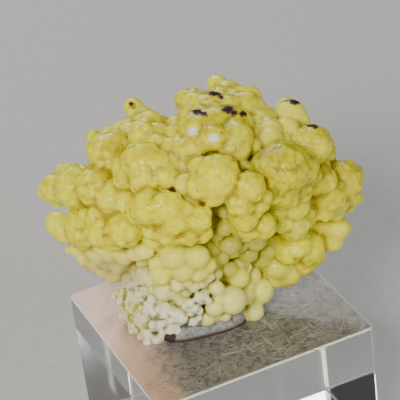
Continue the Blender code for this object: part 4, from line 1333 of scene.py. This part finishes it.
class SPECIMEN_OT_cluster(bpy.types.Operator):
    """Grow the opal cluster: its yellow crown and its sugary root"""

    bl_idname = "specimen.cluster"
    bl_label = "Cluster"

    def execute(self, context):
        look = context.scene.specimen_cluster
        coarse = 1.0
        rng = np.random.default_rng(SKIN_SEED)
        lobes = all_lobes()
        centres = np.vstack([places for _, places, _ in lobes])
        radii = np.concatenate([sizes for _, _, sizes in lobes])
        names = [name for name, places, _ in lobes for _ in places]
        shape, bead, bar = ball(), ball(2), rod()
        for name, in_root, grid, glow_depth, core in (
            ("opal_crown", False, look.crown_grid, look.crown_glow, (CROWN_CENTRE, CROWN_CORE)),
            ("opal_root", True, look.root_grid, look.root_glow, (ROOT_CENTRE, ROOT_CORE)),
        ):
            grid = grid * coarse
            mine = [lobe for lobe in lobes if (lobe[0] in ROOT_GROUPS) == in_root]
            parts = [grown_lobe(*lobe, grid, shape, bead, bar, rng) for lobe in mine]
            piece = grown_piece(name, parts + [egg(shape, *core)], grid)
            colour_cluster(piece, centres, radii, names, grid)
            put_down(piece, opal_finish(name + "_skin", look, glow_depth), "yellow_opal", "opal_cluster")
        return {"FINISHED"}


class SPECIMEN_OT_slip(bpy.types.Operator):
    """Break the slip of host rock"""

    bl_idname = "specimen.slip"
    bl_label = "Matrix slip"

    def execute(self, context):
        levels = [(SLIP_LIFT, -SLIP_UNDERCUT), (SLIP_RIM, 0.0), (SLIP_HEIGHT, -SLIP_LEAN)]
        piece = mesh_object("slip_rock", *slip_rings(levels))
        fuse(piece, SLIP_GRID * MM, 2)
        points, _, _ = read_mesh(piece)
        far = np.linalg.norm(points - on_block(POCKET_PLACE), axis=1)
        write(piece, "pocket", np.clip(POCKET_EDGE - far / POCKET_SIZE, 0.0, 1.0))
        piece.data.shade_smooth()
        put_down(piece, slip_finish(context.scene.specimen_cluster), "grey_matrix", "matrix_slip")
        return {"FINISHED"}


class SPECIMEN_OT_specks(bpy.types.Operator):
    """Set the dark mineral specks on the crown"""

    bl_idname = "specimen.specks"
    bl_label = "Specks"

    def execute(self, context):
        crown = bpy.data.objects["opal_crown"]
        places = []
        start = (SHOW_POINT + TOWARD * SHOW_DISTANCE) * MM
        for across, rise in SPECKS:
            aim = across * ACROSS + rise * RISE - TOWARD * SHOW_DISTANCE
            hit, place, _, _ = crown.ray_cast(Vector(start), Vector(aim).normalized())
            if hit:
                places.append(np.array(place) / MM)
        sizes = np.full(len(places), SPECK_SIZE)
        piece = mesh_object("dark_specks", *balls(ball(1), np.array(places), sizes))
        put_down(piece, plain_finish("dark_grain", (0.10, 0.055, 0.03), 0.6, 0.1), "yellow_opal")
        return {"FINISHED"}


def chip_cutter(look, rng):
    """Pebbles along the block's front top edge, fused, to cut its chips with."""
    count = look.chips
    along = rng.uniform(-BLOCK_WIDTH / 2 + CHIP_MARGIN, BLOCK_WIDTH / 2 - CHIP_MARGIN, count)
    sizes = rng.uniform(*CHIP_SIZE, count)
    places = np.stack((along, np.full(count, -BLOCK_DEPTH / 2), np.full(count, BLOCK_HEIGHT)), axis=1)
    places[:, 1:] += rng.normal(0.0, CHIP_DRIFT, (count, 2))
    frames = np.eye(3) * sizes[:, None, None] * rng.uniform(*CHIP_STRETCH, (count, 3))[:, None, :]
    cutter = mesh_object("cutter", *copies(ball(2), frames, places))
    fuse(cutter, CHIP_GRID * MM)
    return cutter


def scratch_marks(look, rng):
    """Hair-thin scratches over the block's top, one of each patch bold, with few patches at its left."""
    half = np.array((BLOCK_WIDTH, BLOCK_DEPTH)) / 2 - SCRATCH_MARGIN
    middles = rng.uniform(-1.0, 1.0, (look.patches * 3, 2)) * half
    lean = 0.12 + 0.88 / (1.0 + np.exp(-(middles[:, 0] * 0.8 - middles[:, 1] * 0.2 + 3.0) / 3.0))
    middles = middles[rng.uniform(size=len(middles)) < lean][: look.patches]
    turns = rng.normal(*SCRATCH_TURN, len(middles))
    count = len(middles) * look.scratches
    places = np.repeat(middles, look.scratches, axis=0) + rng.normal(0.0, SCRATCH_SCATTER, (count, 2))
    turn = np.repeat(turns, look.scratches) + rng.normal(0.0, SCRATCH_SWING, count)
    bold = np.arange(count) % look.scratches == 0
    length = rng.gamma(*SCRATCH_LENGTH, count) + SCRATCH_LEAST + bold * rng.uniform(*BOLD_LONGER, count)
    width = rng.uniform(*SCRATCH_WIDTH, count) * np.where(bold, BOLD_WIDER, 1.0)
    aim = np.stack((np.cos(turn), np.sin(turn), np.zeros(count)), axis=1)
    side = np.stack((-np.sin(turn), np.cos(turn), np.zeros(count)), axis=1)
    thick = np.tile(UP * SCRATCH_THICK, (count, 1))
    frames = np.stack((aim * length[:, None] / 2, side * width[:, None], thick), axis=1)
    spots = np.column_stack((places, np.full(count, BLOCK_HEIGHT + SCRATCH_LIFT)))
    reach = np.abs(spots[:, :2]) + np.abs(aim[:, :2]) * length[:, None] / 2
    kept = (reach < half).all(1)
    return mesh_object("top_scratches", *copies(ball(1), frames[kept], spots[kept]))


class SPECIMEN_OT_block(bpy.types.Operator):
    """Saw the acrylic block, chip its edge and scratch its top"""

    bl_idname = "specimen.block"
    bl_label = "Acrylic block"

    def execute(self, context):
        look = context.scene.specimen_block
        rng = np.random.default_rng(BLOCK_SEED)
        only()
        bpy.ops.mesh.primitive_cube_add(size=1.0, location=(0.0, 0.0, BLOCK_HEIGHT * MM / 2.0))
        block = bpy.context.object
        block.name = "display_block"
        bpy.ops.transform.resize(value=(BLOCK_WIDTH * MM, BLOCK_DEPTH * MM, BLOCK_HEIGHT * MM))
        bpy.ops.object.transform_apply(location=True, rotation=True, scale=True)
        corners = block.data.vertices
        weights = block.data.attributes.new("bevel_weight_edge", "FLOAT", "EDGE")
        for edge in block.data.edges:
            if len({round(corners[v].co.z, 5) for v in edge.vertices}) == 2:
                weights.data[edge.index].value = 1.0
        apply(block, "BEVEL", width=CORNER_ROUND * MM, segments=4, limit_method="WEIGHT")
        fine = {"segments": 3, "limit_method": "ANGLE", "angle_limit": BEVEL_ANGLE}
        apply(block, "BEVEL", width=EDGE_BEVEL * MM, **fine)
        cut_away(block, chip_cutter(look, rng))
        only(block)
        bpy.ops.object.shade_smooth_by_angle(angle=CREASE_ANGLE)
        apply(block, "WEIGHTED_NORMAL", keep_sharp=True)
        put_down(block, acrylic_finish(look), "clear_acrylic", "acrylic_block")
        marks = scratch_marks(look, rng)
        put_down(marks, plain_finish("scratched_acrylic", (0.85, 0.84, 0.82), 0.5, 0.3), "clear_acrylic")
        return {"FINISHED"}


class SPECIMEN_OT_stage(bpy.types.Operator):
    """Lay the floor, hang the lights and set the camera"""

    bl_idname = "specimen.stage"
    bl_label = "Stage"

    def execute(self, context):
        look = context.scene.specimen_stage
        only()
        bpy.ops.mesh.primitive_plane_add(size=FLOOR_SIZE, location=(0.0, 0.0, -FLOOR_GAP))
        bpy.ops.object.transform_apply(location=True)
        floor = bpy.context.object
        floor.name = "floor"
        floor.data.materials.append(plain_finish("pale_floor", look.floor, 0.7, 2.0))
        world = bpy.data.worlds.new("studio")
        world.use_nodes = True
        world.node_tree.nodes["Background"].inputs["Color"].default_value = rgba(look.world)
        context.scene.world = world
        aim = Vector(LAMP_AIM)
        for name, place, size in LAMPS:
            bpy.ops.object.light_add(type="AREA", location=place)
            lamp = bpy.context.object
            lamp.name = name
            lamp.data.shape = "DISK"
            lamp.data.size = size
            lamp.data.energy = getattr(look, name)
            lamp.data.color = look.tint if name == "key" else (1.0, 1.0, 1.0)
            lamp.rotation_euler = (aim - Vector(place)).to_track_quat("-Z", "Y").to_euler()
        eye = Vector((SHOW_POINT + TOWARD * SHOW_DISTANCE) * MM)
        bpy.ops.object.camera_add(location=eye)
        camera = bpy.context.object
        camera.rotation_euler = Matrix((ACROSS, RISE, TOWARD)).transposed().to_euler()
        camera.data.lens = SHOW_LENS
        camera.data.sensor_width = SENSOR_WIDTH
        camera.data.clip_start = 0.01
        context.scene.camera = camera
        return {"FINISHED"}


class SPECIMEN_PT_panel(bpy.types.Panel):
    """Lists the pieces and their settings"""

    bl_idname = "SPECIMEN_PT_panel"
    bl_label = "Specimen"
    bl_space_type = "VIEW_3D"
    bl_region_type = "UI"
    bl_category = "Specimen"

    def draw(self, context):
        for step in STEPS:
            self.layout.operator(step.bl_idname)
        for name in LOOKS:
            look = getattr(context.scene, name)
            box = self.layout.box()
            for key in look.__annotations__:
                box.prop(look, key)


STEPS = (SPECIMEN_OT_stage, SPECIMEN_OT_cluster, SPECIMEN_OT_specks, SPECIMEN_OT_slip, SPECIMEN_OT_block)
LOOKS = {"specimen_cluster": ClusterLook, "specimen_block": BlockLook, "specimen_stage": StageLook}
CLASSES = (*LOOKS.values(), SPECIMEN_PT_panel, *STEPS)


def register():
    """Adds the steps, the panel and the settings."""
    for made in CLASSES:
        bpy.utils.register_class(made)
    for name, look in LOOKS.items():
        setattr(bpy.types.Scene, name, PointerProperty(type=look))


def unregister():
    """Takes them away again."""
    for name in LOOKS:
        delattr(bpy.types.Scene, name)
    for made in reversed(CLASSES):
        bpy.utils.unregister_class(made)


def main():
    """Models the specimen step by step."""
    register()
    bpy.ops.specimen.stage()
    bpy.ops.specimen.cluster()
    bpy.ops.specimen.specks()
    bpy.ops.specimen.slip()
    bpy.ops.specimen.block()


if __name__ == "__main__":
    main()
